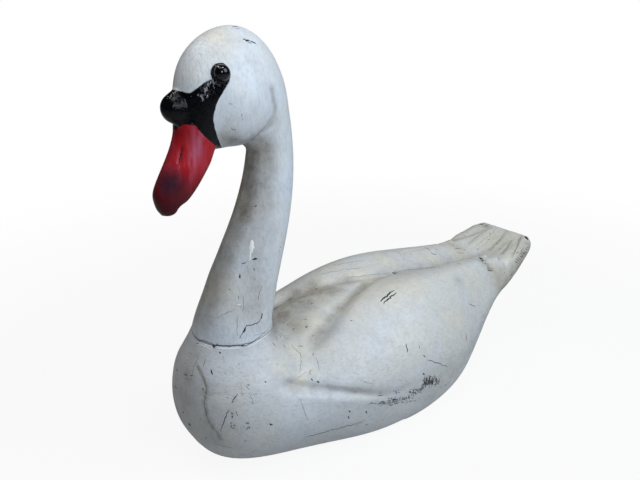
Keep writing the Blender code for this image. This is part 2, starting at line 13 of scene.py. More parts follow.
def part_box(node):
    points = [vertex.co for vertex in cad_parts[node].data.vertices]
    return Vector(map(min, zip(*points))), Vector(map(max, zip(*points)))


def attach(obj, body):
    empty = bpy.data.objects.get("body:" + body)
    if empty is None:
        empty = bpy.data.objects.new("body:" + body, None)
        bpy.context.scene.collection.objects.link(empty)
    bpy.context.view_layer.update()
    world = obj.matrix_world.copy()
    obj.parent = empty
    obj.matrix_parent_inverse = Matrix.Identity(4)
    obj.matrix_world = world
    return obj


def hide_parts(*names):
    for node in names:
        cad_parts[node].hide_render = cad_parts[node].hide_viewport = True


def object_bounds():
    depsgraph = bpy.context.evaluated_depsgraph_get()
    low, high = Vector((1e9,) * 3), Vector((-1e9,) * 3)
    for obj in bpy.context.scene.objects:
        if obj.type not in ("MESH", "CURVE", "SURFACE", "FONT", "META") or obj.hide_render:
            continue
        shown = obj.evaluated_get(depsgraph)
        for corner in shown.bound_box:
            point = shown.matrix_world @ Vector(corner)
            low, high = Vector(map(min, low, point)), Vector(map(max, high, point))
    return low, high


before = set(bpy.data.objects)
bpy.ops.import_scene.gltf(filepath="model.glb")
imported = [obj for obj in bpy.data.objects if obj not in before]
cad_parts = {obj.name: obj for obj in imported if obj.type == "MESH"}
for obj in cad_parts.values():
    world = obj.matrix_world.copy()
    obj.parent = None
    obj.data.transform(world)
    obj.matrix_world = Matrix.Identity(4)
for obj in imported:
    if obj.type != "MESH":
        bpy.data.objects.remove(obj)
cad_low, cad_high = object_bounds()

# Camera.  It stands in front of the swan's left shoulder and looks a little down on it.
# The middle of the hidden neck dowel is the point that the swan's places are counted from.
dowel_low, dowel_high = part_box("neck_dowel")
NECK_Y = 0.5 * (dowel_low.y + dowel_high.y)
JOINT_Z = 0.5 * (dowel_low.z + dowel_high.z)
CAMERA_TURN = math.radians(52.0)
CAMERA_PITCH = math.radians(21.4)
CAMERA_PLACE = Vector((0.620, NECK_Y - 0.341, 0.570))
PICTURE_WIDTH = 640
PICTURE_HEIGHT = 480
FOCAL_PIXELS = 600.0
SENSOR_WIDTH = 36.0

camera_back = Vector((
    math.sin(CAMERA_TURN) * math.cos(CAMERA_PITCH),
    -math.cos(CAMERA_TURN) * math.cos(CAMERA_PITCH),
    math.sin(CAMERA_PITCH),
))
camera_right = Vector((math.cos(CAMERA_TURN), math.sin(CAMERA_TURN), 0.0))
camera_up = camera_back.cross(camera_right)
bpy.ops.object.camera_add(location=CAMERA_PLACE, rotation=camera_back.to_track_quat("Z", "Y").to_euler())
camera = bpy.context.active_object
camera.name = "photo_camera"
camera.data.sensor_width = SENSOR_WIDTH
camera.data.lens = SENSOR_WIDTH * FOCAL_PIXELS / PICTURE_WIDTH
bpy.context.scene.camera = camera
bpy.context.scene.view_settings.view_transform = "Standard"

# Floor and light.  A pale floor that shows white to the eye but keeps the swan's soft shadow, a wide
# cool window on the swan's left, a lamp near its face, one in front and two small warm ones above.
FLOOR_SIZE = 12.0
FLOOR_COLOUR = (0.55, 0.55, 0.55, 1.0)
FLOOR_WHITE_NEAR = 0.92
FLOOR_IN_GLOSS = 0.10
FLOOR_WHITE_START = 0.45
FLOOR_WHITE_END = 1.40
WORLD_COLOUR = (0.90, 0.94, 1.0, 1.0)
WORLD_STRENGTH = 0.03
PURE_WHITE = (1.0, 1.0, 1.0, 1.0)


def feed(tree, target, values):
    """Give input sockets their numbers, their colours, or links from other nodes' outputs."""
    for name, value in values.items():
        socket = target.inputs[name]
        if isinstance(value, bpy.types.NodeSocket):
            tree.links.new(value, socket)
        else:
            socket.default_value = value


def add_node(tree, kind, values=None, **settings):
    """A new shader node with values for its inputs and settings such as its operation."""
    made = tree.nodes.new(kind)
    for name, value in settings.items():
        setattr(made, name, value)
    feed(tree, made, values or {})
    return made


def maths(tree, operation, first, second=0.0, third=None, clamp=False):
    made = add_node(tree, "ShaderNodeMath", {
        0: first, 1: second,
    }, operation=operation, use_clamp=clamp)
    if third is not None:
        feed(tree, made, {2: third})
    return made.outputs[0]


def times(tree, first, second, clamp=False):
    return maths(tree, "MULTIPLY", first, second, clamp=clamp)


def times_add(tree, first, second, third, clamp=False):
    """First times second, and third added."""
    return maths(tree, "MULTIPLY_ADD", first, second, third, clamp)


def blend_colours(tree, share, first, second):
    made = add_node(tree, "ShaderNodeMix", {0: share, 6: first, 7: second}, data_type="RGBA")
    return made.outputs[2]


def ramp(tree, value, low, high):
    """0 below low and 1 above high, or the other way round when low is the larger."""
    made = add_node(tree, "ShaderNodeMapRange", {
        "Value": value, "From Min": min(low, high), "From Max": max(low, high),
        "To Min": 0.0 if low < high else 1.0, "To Max": 1.0 if low < high else 0.0,
    }, interpolation_type="SMOOTHSTEP")
    return made.outputs["Result"]


def lay_over(tree, share, below, above):
    """A shader laid over another one where share is 1."""
    made = add_node(tree, "ShaderNodeMixShader", {0: share, 1: below, 2: above})
    return made.outputs[0]


def own_places(tree):
    """Where each point lies on its own object, so that a pattern stays with the piece."""
    return add_node(tree, "ShaderNodeTexCoord").outputs["Object"]


def distance_from(tree, places, middle):
    made = add_node(tree, "ShaderNodeVectorMath", {0: places, 1: middle}, operation="DISTANCE")
    return made.outputs["Value"]


def seen_directly(tree):
    """Share 1 for rays from the camera, also through something clear; and the kinds of ray."""
    paths = add_node(tree, "ShaderNodeLightPath").outputs
    return maths(tree, "MAXIMUM", paths["Is Camera Ray"], paths["Is Transmission Ray"]), paths


def new_material(name):
    """A node material with only a Principled shader in it."""
    made = bpy.data.materials.new(name)
    made.use_nodes = True
    shader = made.node_tree.nodes["Principled BSDF"]
    return made, made.node_tree, shader


def pick(piece):
    """Deselect everything, then select this piece alone and make it active."""
    if bpy.context.object and bpy.context.object.mode != "OBJECT":
        bpy.ops.object.mode_set(mode="OBJECT")
    bpy.ops.object.select_all(action="DESELECT")
    piece.hide_viewport = False
    piece.select_set(True)
    bpy.context.view_layer.objects.active = piece


bpy.ops.mesh.primitive_plane_add(size=FLOOR_SIZE, location=(0.0, 0.0, 0.0))
floor = bpy.context.active_object
floor.name = "studio_floor"
floor_material, tree, shader = new_material("pale_floor")
feed(tree, shader, {"Base Color": FLOOR_COLOUR, "Roughness": 0.9})
seen, paths = seen_directly(tree)
seen = maths(tree, "MAXIMUM", seen, times(tree, paths["Is Glossy Ray"], FLOOR_IN_GLOSS))
glow = add_node(tree, "ShaderNodeEmission", {"Color": PURE_WHITE, "Strength": 1.0})
away = distance_from(tree, own_places(tree), (0.0, 0.0, 0.0))
far = ramp(tree, away, FLOOR_WHITE_START, FLOOR_WHITE_END)
white = times_add(tree, far, 1.0 - FLOOR_WHITE_NEAR, FLOOR_WHITE_NEAR)
lifted = lay_over(tree, times(tree, seen, white), shader.outputs[0], glow.outputs[0])
tree.links.new(lifted, tree.nodes["Material Output"].inputs["Surface"])
floor.data.materials.append(floor_material)

world = bpy.data.worlds.new("studio")
bpy.context.scene.world = world
world.use_nodes = True
tree = world.node_tree
sky = tree.nodes["Background"]
feed(tree, sky, {"Color": WORLD_COLOUR, "Strength": WORLD_STRENGTH})
plain = add_node(tree, "ShaderNodeBackground", {"Color": PURE_WHITE, "Strength": 1.0})
backdrop = lay_over(tree, seen_directly(tree)[0], sky.outputs[0], plain.outputs[0])
tree.links.new(backdrop, tree.nodes["World Output"].inputs["Surface"])

LAMP_AIM = Vector((0.0, -0.12, 0.30))
FACE_AIM = Vector((0.03, NECK_Y - 0.02, 0.49))
COOL_LIGHT = (0.80, 0.90, 1.0)
FACE_LIGHT = (0.86, 0.93, 1.0)
FRONT_LIGHT = (0.92, 0.95, 1.0)
WARM_LIGHT = (1.0, 0.95, 0.88)


def add_lamp(name, azimuth, elevation, distance, size, power, colour, aim=LAMP_AIM):
    """A soft lamp turned to the aim; azimuth 0 is in front of the swan and 90 is on its left."""
    turned = math.radians(azimuth)
    raised = math.radians(elevation)
    toward = Vector((
        math.sin(turned) * math.cos(raised),
        -math.cos(turned) * math.cos(raised),
        math.sin(raised),
    ))
    turn = toward.to_track_quat("Z", "Y").to_euler()
    bpy.ops.object.light_add(type="AREA", location=aim + toward * distance, rotation=turn)
    lamp = bpy.context.active_object
    lamp.name = name
    lamp.data.shape = "RECTANGLE"
    lamp.data.size, lamp.data.size_y = size
    lamp.data.energy = power
    lamp.data.color = colour


add_lamp("window", 114.0, 40.0, 1.55, (1.1, 1.1), 20.5, COOL_LIGHT)
add_lamp("head_lamp", 62.0, 22.0, 0.50, (0.16, 0.16), 0.85, FACE_LIGHT, FACE_AIM)
add_lamp("front_lamp", 10.0, 70.0, 1.6, (0.8, 0.6), 3.5, FRONT_LIGHT)
add_lamp("ceiling_lamp", 97.0, 80.0, 1.6, (0.22, 0.22), 5.6, WARM_LIGHT)
add_lamp("second_ceiling_lamp", -56.0, 58.0, 1.6, (0.18, 0.18), 4.2, WARM_LIGHT)

# Body.  One block of softwood, carved with folded wings, a leaf-shaped mantle between them and
# a fanned tail, then painted white.  The paint is worn, cracked and grimy in the carving, and its colour
# also holds painted shade in the hollows, in the creases and on the surfaces that face away from the light.
MILLIMETRE = 0.001
MERGE_DISTANCE = 0.00005
QUAD_FACE_ANGLE = math.radians(40.0)
QUAD_SHAPE_ANGLE = math.radians(60.0)
SHARP_ANGLE = math.radians(50.0)
SMOOTH_LEVELS = 2
HOLLOW_ROUNDS = 40
RIM_ROUNDING = 0.0011
RIM_LEAST_RADIUS = 0.04
JOINT_PLAY = 0.0002
LONGEST_LEAP = 0.012
DRAWN_STEP = 2.0
MIRROR = np.array((-1.0, 1.0, 1.0))


def copy_of_node(node, name):
    """A merged copy of a CAD node's mesh as a new piece, its triangles made quads again."""
    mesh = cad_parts[node].data.copy()
    mesh.name = name
    mesh.materials.clear()
    piece = bpy.data.objects.new(name, mesh)
    bpy.context.scene.collection.objects.link(piece)
    pick(piece)
    bpy.ops.object.mode_set(mode="EDIT")
    bpy.ops.mesh.select_all(action="SELECT")
    bpy.ops.mesh.remove_doubles(threshold=MERGE_DISTANCE)
    bpy.ops.mesh.tris_convert_to_quads(face_threshold=QUAD_FACE_ANGLE, shape_threshold=QUAD_SHAPE_ANGLE)
    bpy.ops.mesh.select_all(action="DESELECT")
    bpy.ops.object.mode_set(mode="OBJECT")
    return piece


def edit_edges(piece):
    """Open a piece for work on its edges, with none of them selected."""
    pick(piece)
    bpy.ops.object.mode_set(mode="EDIT")
    bpy.ops.mesh.select_mode(type="EDGE")
    bpy.ops.mesh.select_all(action="DESELECT")


def bevel_rim(piece, height, width):
    """Round the sharp outer rim that lies in the joint."""
    edit_edges(piece)
    bpy.ops.object.mode_set(mode="OBJECT")
    places = piece.data.vertices
    for edge in piece.data.edges:
        first, second = (places[index].co for index in edge.vertices)
        in_joint = abs(first.z - height) < JOINT_PLAY and abs(second.z - height) < JOINT_PLAY
        rim = min(math.hypot(end.x, end.y - NECK_Y) for end in (first, second)) > RIM_LEAST_RADIUS
        edge.select = in_joint and rim
    bpy.ops.object.mode_set(mode="EDIT")
    bpy.ops.mesh.bevel(offset=width, segments=2, affect="EDGES")
    bpy.ops.object.mode_set(mode="OBJECT")


def subdivide(piece, levels):
    """Keep the sharp edges sharp, then smooth the piece with a Subdivision Surface."""
    edit_edges(piece)
    bpy.ops.mesh.edges_select_sharp(sharpness=SHARP_ANGLE)
    bpy.ops.transform.edge_crease(value=1.0)
    bpy.ops.object.mode_set(mode="OBJECT")
    smoother = piece.modifiers.new("smooth", "SUBSURF")
    smoother.levels = levels
    smoother.render_levels = levels
    bpy.ops.object.modifier_apply(modifier=smoother.name)
    bpy.ops.object.shade_smooth()


def read_points(piece, name):
    flat = np.empty(len(piece.data.vertices) * 3, np.float32)
    piece.data.vertices.foreach_get(name, flat)
    return flat.reshape(-1, 3).astype(float)


def places_of(piece):
    return read_points(piece, "co")


def normals_of(piece):
    return read_points(piece, "normal")


def put_places(piece, places):
    piece.data.vertices.foreach_set("co", places.astype(np.float32).ravel())
    piece.data.update()


def put_share(piece, name, share):
    """Store one number for each point of the mesh, for the paint to read."""
    layer = piece.data.attributes.get(name) or piece.data.attributes.new(name, "FLOAT", "POINT")
    layer.data.foreach_set("value", np.clip(share, 0.0, 1.0).astype(np.float32))


def edge_ends(piece):
    """The first and the second point of every edge."""
    ends = np.empty(len(piece.data.edges) * 2, np.int32)
    piece.data.edges.foreach_get("vertices", ends)
    return ends.reshape(-1, 2).T


def sum_of_neighbours(values, first, second):
    """For each point, the sum of the values of the points that its edges lead to."""
    total = np.bincount(first, weights=values[second], minlength=len(values))
    return total + np.bincount(second, weights=values[first], minlength=len(values))


def mark_hollows(piece, depth):
    """Share 1 where the surface lies in a hollow at least this deep, which the paint darkens with dirt and
    painted shade.
    """
    first, second = edge_ends(piece)
    start = places_of(piece)
    near = np.maximum(sum_of_neighbours(np.ones(len(start)), first, second), 1)
    soft = start.copy()
    for _ in range(HOLLOW_ROUNDS):
        for axis in range(3):
            total = sum_of_neighbours(soft[:, axis], first, second)
            soft[:, axis] = 0.5 * soft[:, axis] + 0.5 * total / near
    raised = np.einsum("ij,ij->i", soft - start, normals_of(piece))
    put_share(piece, "hollow", raised / depth)


def photo_ray(across, down):
    """Direction from the camera through a point of the 640 x 480 picture."""
    ray = -camera_back * FOCAL_PIXELS
    ray += camera_right * (across - 0.5 * PICTURE_WIDTH)
    ray += camera_up * (0.5 * PICTURE_HEIGHT - down)
    return ray.normalized()


def surface_of(piece):
    return BVHTree.FromObject(piece, bpy.context.evaluated_depsgraph_get())


def corners(row):
    """The places of a line drawn on the picture, from its row of across, down, across, down."""
    return tuple(zip(row[::2], row[1::2]))


def drawn_on(surface, row):
    """Points where a line drawn on the picture falls on a piece."""
    pixels = corners(row)
    found = []
    for start, end in zip(pixels, pixels[1:]):
        parts = max(int(math.dist(start, end) / DRAWN_STEP), 1)
        for index in range(parts + 1):
            if index == 0 and found:
                continue
            across = start[0] + (end[0] - start[0]) * index / parts
            down = start[1] + (end[1] - start[1]) * index / parts
            spot = surface.ray_cast(CAMERA_PLACE, photo_ray(across, down))[0]
            if spot is not None:
                found.append(spot)
    return found


def distance_to_line(places, line):
    """Distance from each place to a line of points; a leap between two slopes isn't part of it."""
    nearest = np.full(len(places), 1.0)
    for start, end in zip(line, line[1:]):
        start = np.array(start)
        run = np.array(end) - start
        if np.linalg.norm(run) > LONGEST_LEAP:
            continue
        share = np.clip((places - start) @ run / max(run @ run, 1e-12), 0.0, 1.0)
        gap = np.linalg.norm(places - start - share[:, None] * run, axis=1)
        nearest = np.minimum(nearest, gap)
    return nearest


def carve(piece, line, depth, width):
    """Press a soft groove into a piece along a line, on both sides of the swan."""
    places = places_of(piece)
    inward = normals_of(piece) * -1.0
    for own in (places, places * MIRROR):
        share = np.exp(-(distance_to_line(own, line) / width) ** 2)
        places = places + inward * (depth * share)[:, None]
    put_places(piece, places)


def step_up(values, low, high):
    """0 below low, 1 above high and a smooth rise between."""
    share = np.clip((values - low) / (high - low), 0.0, 1.0)
    return share * share * (3.0 - 2.0 * share)


def soften(piece, share, rounds, across_only=False):
    """Rub the carving down where share is above 0, by drawing each point to its neighbours."""
    first, second = edge_ends(piece)
    places = places_of(piece)
    if across_only:
        run = np.abs(places[second] - places[first])
        level = (run[:, 0] > run[:, 1]) & (run[:, 0] > run[:, 2])
        first, second = first[level], second[level]
    near = sum_of_neighbours(np.ones(len(places)), first, second)
    share = np.where(near > 1, share, 0.0)
    near = np.maximum(near, 1)
    for _ in range(rounds):
        for axis in range(3):
            total = sum_of_neighbours(places[:, axis], first, second)
            places[:, axis] += share * 0.5 * (total / near - places[:, axis])
    put_places(piece, places)


body = copy_of_node("body", "carved_body")
bevel_rim(body, JOINT_Z, RIM_ROUNDING)
subdivide(body, SMOOTH_LEVELS)

# The knife work on the tail and the mantle is rubbed down a little by sanding and thick paint.
# Each pair is where the rubbing, or its end, begins and where it is complete.
FACING_UP = (0.2, 0.6)
TAIL_START_Y = 0.235
TAIL_FRONT = (TAIL_START_Y, TAIL_START_Y + 0.03)
TAIL_END = (cad_high.y - 0.035, cad_high.y - 0.012)
MANTLE_FRONT = (NECK_Y + 0.075, NECK_Y + 0.10)
MANTLE_END = (NECK_Y + 0.23, NECK_Y + 0.26)
TAIL_RUB = 0.85
MANTLE_RUB = 0.9
TAIL_ROUNDS = 12
TAIL_LEVEL_ROUNDS = 14
TAIL_END_ROUNDS = 90
MANTLE_ROUNDS = 10
length_places = places_of(body)[:, 1]
upward = step_up(normals_of(body)[:, 2], *FACING_UP)
on_tail = upward * step_up(length_places, *TAIL_FRONT) * TAIL_RUB
on_mantle = upward * step_up(length_places, *MANTLE_FRONT) * MANTLE_RUB
on_mantle *= 1.0 - step_up(length_places, *MANTLE_END)
at_end = upward * step_up(length_places, *TAIL_END)
soften(body, on_tail, TAIL_ROUNDS)
soften(body, on_tail, TAIL_LEVEL_ROUNDS, across_only=True)
soften(body, at_end, TAIL_END_ROUNDS, across_only=True)
soften(body, on_mantle, MANTLE_ROUNDS)

# The ridges stop short of the tail's end, whose upper edge is level.
TAIL_EDGE_Z = 0.1769
TAIL_EDGE_HALF_WIDTH = 0.052
TAIL_EDGE_DEPTH = 0.006
end_places = places_of(body)
on_edge = end_places[:, 1] > cad_high.y - TAIL_EDGE_DEPTH
on_edge &= np.abs(end_places[:, 0]) < TAIL_EDGE_HALF_WIDTH
end_places[on_edge, 2] = np.minimum(end_places[on_edge, 2], TAIL_EDGE_Z)
put_places(body, end_places)
body_surface = surface_of(body)

# The lower edge of the wing begins in a V-shaped notch behind the shoulder.  A fine line crosses the
# back, and the wing ends in a step.  Each cut has its line on the picture, its depth and its width.
NOTCH_UPPER = (289.8, 383.3, 298.7, 377.2, 306.4, 371.7, 314, 367.5)
NOTCH_LOWER = (289.8, 383.3, 298.7, 385.6, 306.4, 387.8, 322, 389.5, 345, 391.5, 368, 393.5)
WING_END_STEP = (479, 258, 484, 262, 487.6, 265, 488, 270, 495, 271)
BACK_LINE = (345, 278, 374, 274, 392.7, 272.9, 413, 269, 442, 266.7, 468, 260.7)
for row, depth, width in (
    (NOTCH_UPPER, 0.0010, 0.0045),
    (NOTCH_LOWER, 0.0013, 0.0058),
    (BACK_LINE, 0.0008, 0.0025),
    (WING_END_STEP, 0.0016, 0.0030),
):
    carve(body, drawn_on(body_surface, row), depth, width)
BODY_HOLLOW_DEPTH = 0.0022
mark_hollows(body, BODY_HOLLOW_DEPTH)


def spread_share(piece, name, spots, lines=(), both_sides=False, already=0.0):
    """Soft patches round places of the picture, and soft lines drawn on it.

    A patch is its across, down, radius in millimetres and strength.  A line is its width in
    millimetres, its strength and then its row of places.  They add to what is already there.
    """
    places = places_of(piece)
    sides = (places, places * MIRROR) if both_sides else (places,)
    surface = surface_of(piece)
    share = np.zeros(len(places)) + already
    for across, down, radius, strength in spots:
        spot = surface.ray_cast(CAMERA_PLACE, photo_ray(across, down))[0]
        if spot is None:
            continue
        for own in sides:
            gap = np.linalg.norm(own - np.array(spot), axis=1)
            share = np.maximum(share, strength * np.exp(-(gap / (radius * MILLIMETRE)) ** 2))
    for width, strength, *row in lines:
        line = drawn_on(surface, row)
        for own in sides:
            gap = distance_to_line(own, line)
            share = np.maximum(share, strength * np.exp(-(gap / (width * MILLIMETRE)) ** 2))
    put_share(piece, name, share)


SPLIT_IN_BREAST = (
    197.6, 366, 203, 377, 206.7, 387.6, 204.4, 404.8, 207.9, 419.7, 215.9, 431.2, 220.5, 439.3,
)
FEATHER_CUTS = (
    (521.3, 236.3, 517.5, 246, 512.5, 256.9), (511.8, 240.7, 507, 248, 502, 254),
    (506.5, 231, 500, 240, 490, 250), (487.5, 229, 478, 236, 469, 243.7),
    (491, 227.5, 474, 235, 454, 240.7),
)
SCUFF_BAND = (
    (6, 1, 380, 404, 392, 401.5, 404, 398.5, 414, 394.5, 424, 386.5, 434, 378.5),
    (7.5, 1, 423, 384, 432, 381, 439, 381), (3, 0.7, 350, 411.5, 365, 408.5, 380, 404.5),
)
BODY_SCUFFS = (
    (398, 391, 8, 0.6), (190, 378, 10, 0.6), (424, 374, 5, 0.8), (447, 374, 6, 0.5), (233, 414, 6, 0.5),
    (250, 426, 8, 0.5), (500, 282, 8, 0.4), (455, 352, 10, 0.3),
)
# Patches and lines of dirt and painted shade.  The painted shade darkens the hollow behind the neck and the
# groove beside the mantle, the notch and the crease under the wing, the pocket at the wing's end, the lower
# rump and the side of the tail that faces away from the light; the rest is dirt in the split and the cuts.
BODY_GRIME_AND_SHADE = (
    (280, 318, 30, 0.92), (300, 304, 28, 0.84), (322, 296, 24, 0.5), (340, 289, 18, 0.45),
    (470, 352, 45, 0.24), (445, 378, 40, 0.24), (500, 278, 26, 0.5), (488, 315, 30, 0.26),
    (430, 392, 26, 0.22), (520, 250, 16, 0.45), (458, 247, 22, 0.34), (311, 288, 18, 0.85),
    (296, 292, 16, 0.8), (325, 288, 14, 0.65), (292, 322, 24, 0.7), (300, 306, 22, 0.75),
    (297, 387, 12, 0.26), (255, 366, 26, 0.2), (326, 316, 14, 0.35), (330, 291, 20, 0.85),
    (345, 283, 18, 0.6), (316, 300, 14, 0.45), (276, 308, 16, 0.85), (290, 300, 14, 0.8),
    (305, 296, 13, 0.7), (320, 293, 12, 0.6), (335, 289, 11, 0.5), (312, 389, 7, 0.2), (280, 368, 34, 0.16),
    (245, 382, 30, 0.12), (330, 391, 8, 0.22), (350, 392, 7, 0.15), (220, 439, 8, 0.3),
    (316, 336, 14, 0.35), (327, 323, 14, 0.45), (339, 309, 14, 0.45), (352, 297, 13, 0.45),
    (364, 287, 12, 0.4), (276, 340, 18, 0.3), (458, 280, 10, 0.35), (483, 262, 10, 0.6), (491, 268, 8, 0.5),
    (486, 226, 7, 0.8), (524, 252, 12, 0.35), (393, 272, 10, 0.4), (430, 268, 10, 0.3), (460, 260, 12, 0.4),
    (206, 392, 8, 0.35), (208, 420, 8, 0.35), (188, 376, 10, 0.45), (194, 360, 14, 0.2),
    (215, 438, 18, 0.25), (186, 400, 16, 0.22),
)
GRIME_AND_SHADE_LINES = (
    (2.4, 0.85, *SPLIT_IN_BREAST), (5, 0.1, 287, 345, 289, 383), (4, 0.55, *FEATHER_CUTS[0]),
    (4, 0.45, *FEATHER_CUTS[1]), (4, 0.3, *FEATHER_CUTS[2]), (4, 0.4, *FEATHER_CUTS[3]),
    (4, 0.45, *FEATHER_CUTS[4]), (3, 0.25, 482, 224.5, 500, 226, 516, 232, 528, 238),
    (4.2, 1, 488.4, 265, 489.2, 268.6, 492, 269.4),
    (13, 0.75, 529, 247, 522, 259, 512, 273, 503, 287, 494, 302),
    (16, 0.3, 494, 302, 482, 325, 474, 345, 458, 370, 436, 392),
    (9.5, 0.58, 366, 284, 352, 297, 339, 309, 327, 323, 314, 338),
    (15, 0.85, 273, 332, 276, 318, 283, 308, 296, 300, 312, 294, 330, 289),
    (6, 0.35, 280, 344, 296, 330, 304, 320),
)
BODY_YELLOWED = (
    (300, 380, 14, 1), (310, 372, 10, 0.9), (500, 280, 45, 1), (470, 290, 50, 0.7), (440, 280, 45, 0.6),
    (470, 330, 50, 0.5), (450, 300, 90, 0.75), (480, 300, 60, 0.9), (430, 340, 80, 0.35), (500, 245, 60, 1),
    (520, 256, 45, 1), (480, 232, 40, 1), (460, 250, 50, 0.8), (425, 255, 40, 0.7), (395, 285, 45, 0.6),
    (360, 275, 50, 0.8), (340, 300, 50, 0.9), (310, 320, 40, 0.9), (295, 350, 26, 0.8), (282, 370, 18, 0.7),
    (330, 335, 30, 0.5), (380, 262, 40, 0.7), (330, 268, 50, 0.6), (215, 430, 40, 0.4), (490, 280, 30, 0.5),
)
spread_share(body, "yellowed", BODY_YELLOWED, both_sides=True)
spread_share(body, "scuff", BODY_SCUFFS, SCUFF_BAND)

# The bottom of the valley between the wings is painted darker too.
VALLEY_HALF_WIDTH = 0.013
VALLEY_DARKENING = 0.55
VALLEY_FRONT = (NECK_Y + 0.20, NECK_Y + 0.28)
VALLEY_END = (TAIL_START_Y + 0.01, TAIL_START_Y + 0.04)
VALLEY_FACING_UP = (0.1, 0.5)
body_places = places_of(body)
in_valley = np.exp(-(body_places[:, 0] / VALLEY_HALF_WIDTH) ** 2)
in_valley *= step_up(body_places[:, 1], *VALLEY_FRONT)
in_valley *= 1.0 - step_up(body_places[:, 1], *VALLEY_END)
in_valley *= step_up(normals_of(body)[:, 2], *VALLEY_FACING_UP)
spread_share(body, "grime_and_shade", BODY_GRIME_AND_SHADE, GRIME_AND_SHADE_LINES, already=VALLEY_DARKENING * in_valley)

CLEAN_WHITE = (0.590, 0.625, 0.675, 1.0)
# The head's white is the body's paint made lighter and bluer: painted light, where the cool light falls
# more strongly on the head.
HEAD_WHITE_PAINTED_LIGHTER = (0.645, 0.710, 0.805, 1.0)
YELLOWED_WHITE = (0.680, 0.655, 0.575, 1.0)
GREY_STROKES = (0.400, 0.410, 0.420, 1.0)
# The brown below is the colour of both the dirt and the painted shade.
GRIME_AND_SHADE_BROWN = (0.185, 0.158, 0.120, 1.0)
DARK_WEAR = (0.045, 0.040, 0.038, 1.0)
PATCH_SCALE = 14.0
STROKE_SCALE = 330.0
CLOUD_SCALE = 60.0
SPARSE_SCALE = 11.0
TICK_SCALE = 210.0
DOT_SCALE = 150.0
FLAKE_SCALE = 300.0
RELIEF_SCALE = 90.0
PAINT_SPECULAR = 0.40
PAINT_BUMP = 0.55
PAINT_RELIEF = 0.0009


def noise(tree, coordinates, scale, detail=3.0, rough=0.5):
    made = add_node(tree, "ShaderNodeTexNoise", {
        "Vector": coordinates, "Scale": scale, "Detail": detail, "Roughness": rough,
    })
    return made.outputs["Fac"]


def stretched(tree, coordinates, stretch, turn=(0.0, 0.0, 0.0)):
    made = add_node(tree, "ShaderNodeMapping", {
        "Vector": coordinates, "Scale": stretch, "Rotation": turn,
    })
    return made.outputs["Vector"]


def share_of(tree, name):
    made = add_node(tree, "ShaderNodeAttribute", attribute_name=name)
    return made.outputs["Fac"]


def specks(tree, coordinates, scale, size, share):
    """Small dark dots: the middles of a few cells of a cell pattern."""
    cells = add_node(tree, "ShaderNodeTexVoronoi", {
        "Vector": coordinates, "Scale": scale,
    }, feature="F1")
    apart = add_node(tree, "ShaderNodeSeparateColor", {0: cells.outputs["Color"]})
    chosen = ramp(tree, apart.outputs[0], share, share * 0.8)
    dot = ramp(tree, cells.outputs["Distance"], size, size * 0.6)
    return times(tree, chosen, dot)


def white_paint(tree, coordinates, clean, grain, stroke_share):
    """Colour, roughness and height of the old white paint, painted shade included; grain stretches it along
    the wood.
    """
    along = stretched(tree, coordinates, grain)
    patches = ramp(tree, noise(tree, coordinates, PATCH_SCALE, 5.0, 0.65), 0.34, 0.66)
    warm = times_add(tree, patches, 0.35, 0.10)
    aged = times_add(tree, patches, 0.5, 0.55)
    warm = times_add(tree, share_of(tree, "yellowed"), aged, warm, clamp=True)
    colour = blend_colours(tree, warm, clean, YELLOWED_WHITE)
    strokes = ramp(tree, noise(tree, along, STROKE_SCALE, 3.0, 0.6), 0.42, 0.74)
    cloudy = ramp(tree, noise(tree, coordinates, CLOUD_SCALE, 8.0, 0.78), 0.38, 0.68)
    colour = blend_colours(tree, times(tree, strokes, stroke_share), colour, GREY_STROKES)
    colour = blend_colours(tree, times(tree, cloudy, 0.30), colour, GREY_STROKES)

    # Dirt and painted shade lie in the hollows and at the given places, uneven like a stain.
    soil_and_shade = times_add(tree, share_of(tree, "hollow"), 0.42, share_of(tree, "grime_and_shade"), clamp=True)
    soil_and_shade = times(tree, soil_and_shade, times_add(tree, cloudy, 0.35, 0.62))
    colour = blend_colours(tree, soil_and_shade, colour, GRIME_AND_SHADE_BROWN)

    # Small dark flaws, ticks along the grain and dots, are thick in some areas and absent in others.
    sparse = ramp(tree, noise(tree, coordinates, SPARSE_SCALE, 3.0), 0.47, 0.62)
    ticks = ramp(tree, noise(tree, along, TICK_SCALE, 2.0, 0.4), 0.735, 0.765)
    ticks = times(tree, ticks, sparse)
    dots = times(tree, specks(tree, coordinates, DOT_SCALE, 0.17, 0.10), sparse)
    flaws = maths(tree, "MAXIMUM", ticks, dots)
    colour = blend_colours(tree, times(tree, flaws, 0.75), colour, DARK_WEAR)

    # Where the paint is scuffed it flakes off down to the dark wood.
    flaking = noise(tree, stretched(tree, coordinates, (1.0, 1.4, 0.6)), FLAKE_SCALE, 4.0, 0.65)
    flaking = times_add(tree, share_of(tree, "scuff"), 0.42, flaking)
    worn = ramp(tree, flaking, 0.86, 0.93)
    colour = blend_colours(tree, times(tree, worn, 0.85), colour, DARK_WEAR)
    rough = times_add(tree, cloudy, 0.22, 0.34)
    rough = times_add(tree, soil_and_shade, 0.30, rough, clamp=True)
    relief = times(tree, noise(tree, coordinates, RELIEF_SCALE, 5.0), 0.7)
    height = times_add(tree, strokes, -0.45, relief)
    height = times_add(tree, flaws, -0.8, height)
    height = times_add(tree, worn, -0.6, height)
    return colour, rough, height


def roughen(tree, shader, height, strength, distance):
    """Give a shader a fine relief from a height."""
    bump = add_node(tree, "ShaderNodeBump", {
        "Strength": strength, "Distance": distance, "Height": height,
    })
    feed(tree, shader, {"Normal": bump.outputs["Normal"]})


